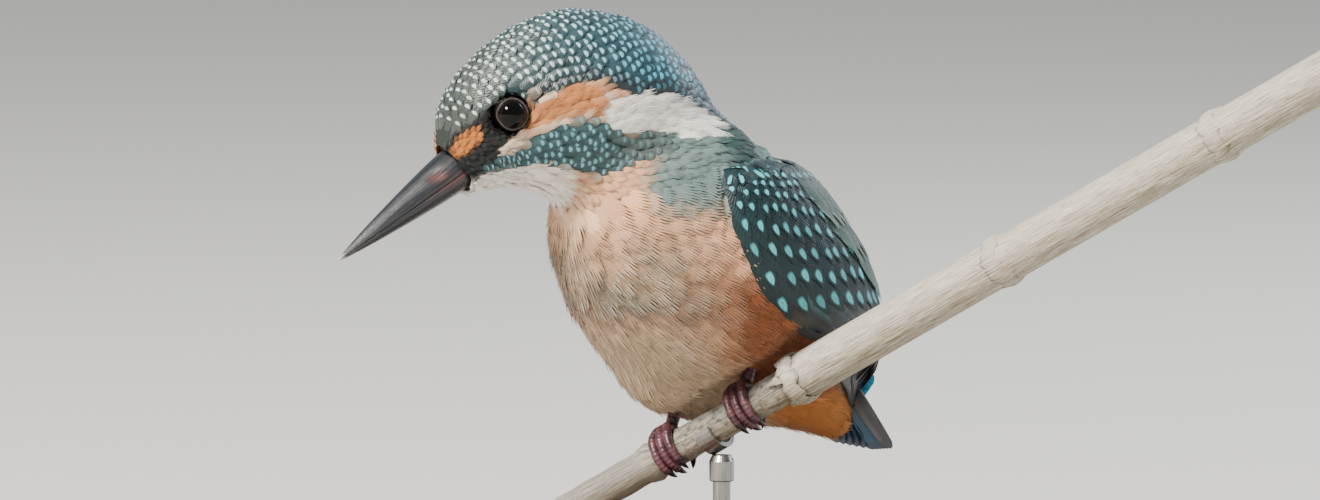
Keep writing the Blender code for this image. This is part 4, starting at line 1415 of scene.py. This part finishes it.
def make_perch(settings):
    """The bare stem with swollen joints, and the torn sheath that still wraps its upper length."""
    bm = bmesh.new()
    rings = []
    steps = 240
    for i in range(steps):
        along = -REED_BELOW + (REED_BELOW + REED_ABOVE) * i / (steps - 1)
        radius = STEM_RADIUS + 0.6 * joint(along, 1.1) + 0.25 * joint(along, 0.35, 1.6) + 0.05 * math.sin(along * 0.9)
        rings.append(reed_ring(along, radius))
    loft(bm, rings, 36)
    reed_uv(bm)
    stem = object_from("reed_stem", bm, reed_material("bleached_reed_stem", "#cfcbc0", "#a9a497", "#7d7567", 0.75))
    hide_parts("perch_reed")
    bm = bmesh.new()
    rings = []
    steps = 150
    for i in range(steps):
        along = SHEATH_START - 1.0 + (REED_ABOVE - SHEATH_START - 0.5) * i / (steps - 1)
        mouth = math.exp(-((along - SHEATH_START) / 1.8) ** 2)
        rings.append(reed_ring(along, SHEATH_RADIUS - 0.35 * mouth + 0.45 * joint(along, 1.6)))
    rows = loft(bm, rings, 44, closed=False)
    for i, row in enumerate(rows[:10]):
        for vert in row:
            turn = reed_turn(vert)
            ragged = 1.6 * math.sin(turn * 3 + 1) + 1.1 * math.sin(turn * 7 + 2) + 0.7 * math.sin(turn * 13)
            vert.co += Vector(REED_ALONG) * ragged * (1 - i / 10) ** 2
    for node in (SHEATH_START + 0.6, REED_NODES[1], REED_NODES[2]):
        collar = []
        for i in range(7):
            share = i / 6
            radius = SHEATH_RADIUS + 0.22 + 0.5 * math.sin(share * math.pi) * (1.0 - 0.3 * share)
            collar.append(reed_ring(node - 1.9 + 3.4 * share, radius))
        for i, row in enumerate(loft(bm, collar, 44, closed=False)):
            for vert in row:
                turn = reed_turn(vert) + node
                ragged = 0.5 * math.sin(turn * 3) + 0.5 * math.sin(turn * 8 + 1) + 0.4 * math.sin(turn * 17)
                vert.co += Vector(REED_ALONG) * ragged * (0.8 if i in (0, 6) else 0.2)
    reed_uv(bm)
    sheath = object_from("reed_sheath", bm, reed_material("papery_leaf_sheath", "#e0dccf", "#c9c3b2", "#9b927f", 0.35))
    wall = sheath.modifiers.new("wall", "SOLIDIFY")
    wall.thickness = SHEATH_WALL
    wall.offset = -1.0


# --- Stand --------------------------------------------------------------------------------------------------

def make_stand(settings):
    """The stand keeps its solids and gets stained wood and brushed steel."""
    wood, tree, shader = new_material("oiled_walnut", Roughness=0.45, Coat_Weight=0.2, Coat_Roughness=0.35)
    place = object_place(tree)
    rings = noise(tree, stretched(tree, place, (18.0, 160.0, 60.0)), 1.5, 5.0, distortion=0.8)
    pores = noise(tree, stretched(tree, place, (120.0, 2600.0, 900.0)), 1.0)
    colour = ramp(tree, rings, ((0.3, "#2a1c14"), (0.5, "#4a3324"), (0.7, "#6a4a33")))
    dark = mapped(tree, pores, 0.58, 0.7, to_high=0.5)
    use(tree, shader, Base_Color=mixed(tree, dark, colour, opaque("#150d09")))
    bump(tree, shader, pores, 0.00008, 0.6)
    steel, tree, shader = new_material("brushed_steel_rod", Metallic=1.0, Roughness=0.32)
    lines = noise(tree, stretched(tree, object_place(tree), (4000.0, 4000.0, 120.0)), 1.0)
    use(tree, shader, Base_Color=ramp(tree, lines, ((0.3, "#8c8a86"), (0.7, "#b7b4af"))),
        Roughness=mapped(tree, lines, to_low=0.24, to_high=0.42))
    low, high = (np.array(corner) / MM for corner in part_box("stand_rod"))
    middle = (low + high) / 2
    bm = bmesh.new()
    points = [np.array((middle[0], middle[1], high[2] + lift)) for lift in (-4.2, -4.0, -0.6, 0.45)]
    tube(bm, points, [2.0, 2.25, 2.25, 1.7], 32, UP + BODY_LEFT)
    collar = object_from("stand_rod_collar", bm, steel, False)
    for node, material in (("stand_base", wood), ("stand_rod", steel), ("stand_clip", steel)):
        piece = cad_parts[node]
        piece.data.materials.clear()
        piece.data.materials.append(material)


# --- Stage --------------------------------------------------------------------------------------------------

AIM = Vector((-0.011, 0.0, 0.0633))
CAMERA_TILT = math.radians(5.0)
VIEW_WIDTH = 0.2357
SENSOR_WIDTH = 36.0
FAR_CLIP = 60.0
FLOOR_HALF = 15.0


def look_at_bird(thing, place):
    """Puts a lamp or camera at a place and turns it to the bird."""
    thing.location = place
    thing.rotation_euler = (AIM - Vector(place)).to_track_quat("-Z", "Y").to_euler()


def make_stage(settings):
    """A pale floor, a soft key light from the upper left, and a long lens at the bird's height."""
    bm = bmesh.new()
    bmesh.ops.create_grid(bm, x_segments=1, y_segments=1, size=FLOOR_HALF)
    mesh = bpy.data.meshes.new("floor")
    bm.to_mesh(mesh)
    bm.free()
    floor = placed("floor", mesh)
    made, _, _ = new_material("pale_floor", Base_Color=opaque("#d9d8d4"), Roughness=0.9)
    mesh.materials.append(made)
    world = bpy.data.worlds.new("pale_world")
    world.use_nodes = True
    sky = world.node_tree.nodes["Background"].inputs
    sky["Color"].default_value = opaque("#e6ebf0")
    sky["Strength"].default_value = settings.fill
    bpy.context.scene.world = world
    for name, place, size, power, colour in (
        ("key", (-0.75, -0.9, 1.15), 0.35, settings.key, "#fff6ea"),
        ("rim", (0.7, 0.5, 0.6), 0.5, settings.key * 0.12, "#e8f2ff"),
    ):
        light = bpy.data.lights.new(name, "AREA")
        light.energy = power
        light.size = size
        light.color = linear(colour)
        look_at_bird(placed(name, light), place)
    camera = placed("camera", bpy.data.cameras.new("camera"))
    distance = settings.camera_distance
    look_at_bird(camera, AIM + Vector((0.0, -math.cos(CAMERA_TILT), math.sin(CAMERA_TILT))) * distance)
    camera.data.sensor_width = SENSOR_WIDTH
    camera.data.lens = SENSOR_WIDTH * distance / VIEW_WIDTH
    camera.data.clip_end = FAR_CLIP
    bpy.context.scene.camera = camera


# --- Add-on -------------------------------------------------------------------------------------------------

def length_property(name, text, default):
    return FloatProperty(name=name, description=text, default=default, unit="LENGTH")


class KingfisherSettings(bpy.types.PropertyGroup):
    """Sizes that shape the bird's coat and eyes, and the start of the random numbers."""
    coat_depth: length_property("Coat depth", "How far the skin lies under the body", 0.0019)
    skin_grain: length_property("Skin grain", "Size of the skin's faces", 0.0009)
    crown_step: length_property("Crown rows", "Distance between rows of spots", 0.00165)
    body_step: length_property("Body feathers", "Distance between soft feathers", 0.0019)
    eye_radius: length_property("Eye radius", "Radius of the eyeball", 0.0031)
    seed: IntProperty(name="Seed", description="Start of the random numbers", default=7)


class KingfisherStageSettings(bpy.types.PropertyGroup):
    """Light and camera."""
    key: FloatProperty(name="Key light", description="Power of the main light", default=60.0, unit="POWER")
    fill: FloatProperty(name="Fill light", description="Strength of the pale surroundings", default=0.55)
    camera_distance: length_property("Camera distance", "From the bird to the camera", 2.0)


def operator(name, label, text, action, stage=False):
    """An operator class that runs one maker with its settings."""
    def execute(self, context):
        action(context.scene.kingfisher_stage if stage else context.scene.kingfisher)
        return {"FINISHED"}
    return type(f"KINGFISHER_OT_{name}", (bpy.types.Operator,), {
        "bl_idname": f"kingfisher.{name}", "bl_label": label, "__doc__": text, "execute": execute,
    })


def make_wings(settings):
    make_wing(settings, 1.0, "left")
    make_wing(settings, -1.0, "right")


OPERATORS = [
    operator("skin", "Skin", "Fuses the flesh into one skin under the coat.", make_skin),
    operator("head_coat", "Head feathers", "Grows the spotted cap and the face feathers.", make_head_coat),
    operator("body_coat", "Body feathers", "Grows the breast, belly and back feathers.", make_body_coat),
    operator("wings", "Wings", "Lays the wing feathers in rows.", make_wings),
    operator("tail", "Tail", "Lays the tail feathers.", make_tail),
    operator("bill", "Bill", "Shapes both halves of the bill.", make_bill),
    operator("eyes", "Eyes", "Makes the eyes and lids.", make_eyes),
    operator("feet", "Feet", "Makes the toes, legs and claws.", make_feet),
    operator("perch", "Perch", "Makes the reed and its sheath.", make_perch),
    operator("stand", "Stand", "Finishes the wooden base and steel rod.", make_stand),
    operator("stage", "Stage", "Sets the floor, lights and camera.", make_stage, True),
]


class KINGFISHER_PT_panel(bpy.types.Panel):
    """Lists the kingfisher's steps."""
    bl_idname = "KINGFISHER_PT_panel"
    bl_label = "Kingfisher"
    bl_space_type = "VIEW_3D"
    bl_region_type = "UI"
    bl_category = "Kingfisher"

    def draw(self, context):
        for settings in (context.scene.kingfisher, context.scene.kingfisher_stage):
            for name in settings.__annotations__:
                self.layout.prop(settings, name)
        for each in OPERATORS:
            self.layout.operator(each.bl_idname)


CLASSES = [KingfisherSettings, KingfisherStageSettings, *OPERATORS, KINGFISHER_PT_panel]


def register():
    for each in CLASSES:
        bpy.utils.register_class(each)
    bpy.types.Scene.kingfisher = PointerProperty(type=KingfisherSettings)
    bpy.types.Scene.kingfisher_stage = PointerProperty(type=KingfisherStageSettings)


def unregister():
    del bpy.types.Scene.kingfisher
    del bpy.types.Scene.kingfisher_stage
    for each in reversed(CLASSES):
        bpy.utils.unregister_class(each)


def main():
    register()
    for step in ("skin", "head_coat", "body_coat", "wings", "tail", "bill", "eyes", "feet", "perch", "stand", "stage"):
        getattr(bpy.ops.kingfisher, step)()


if __name__ == "__main__":
    main()
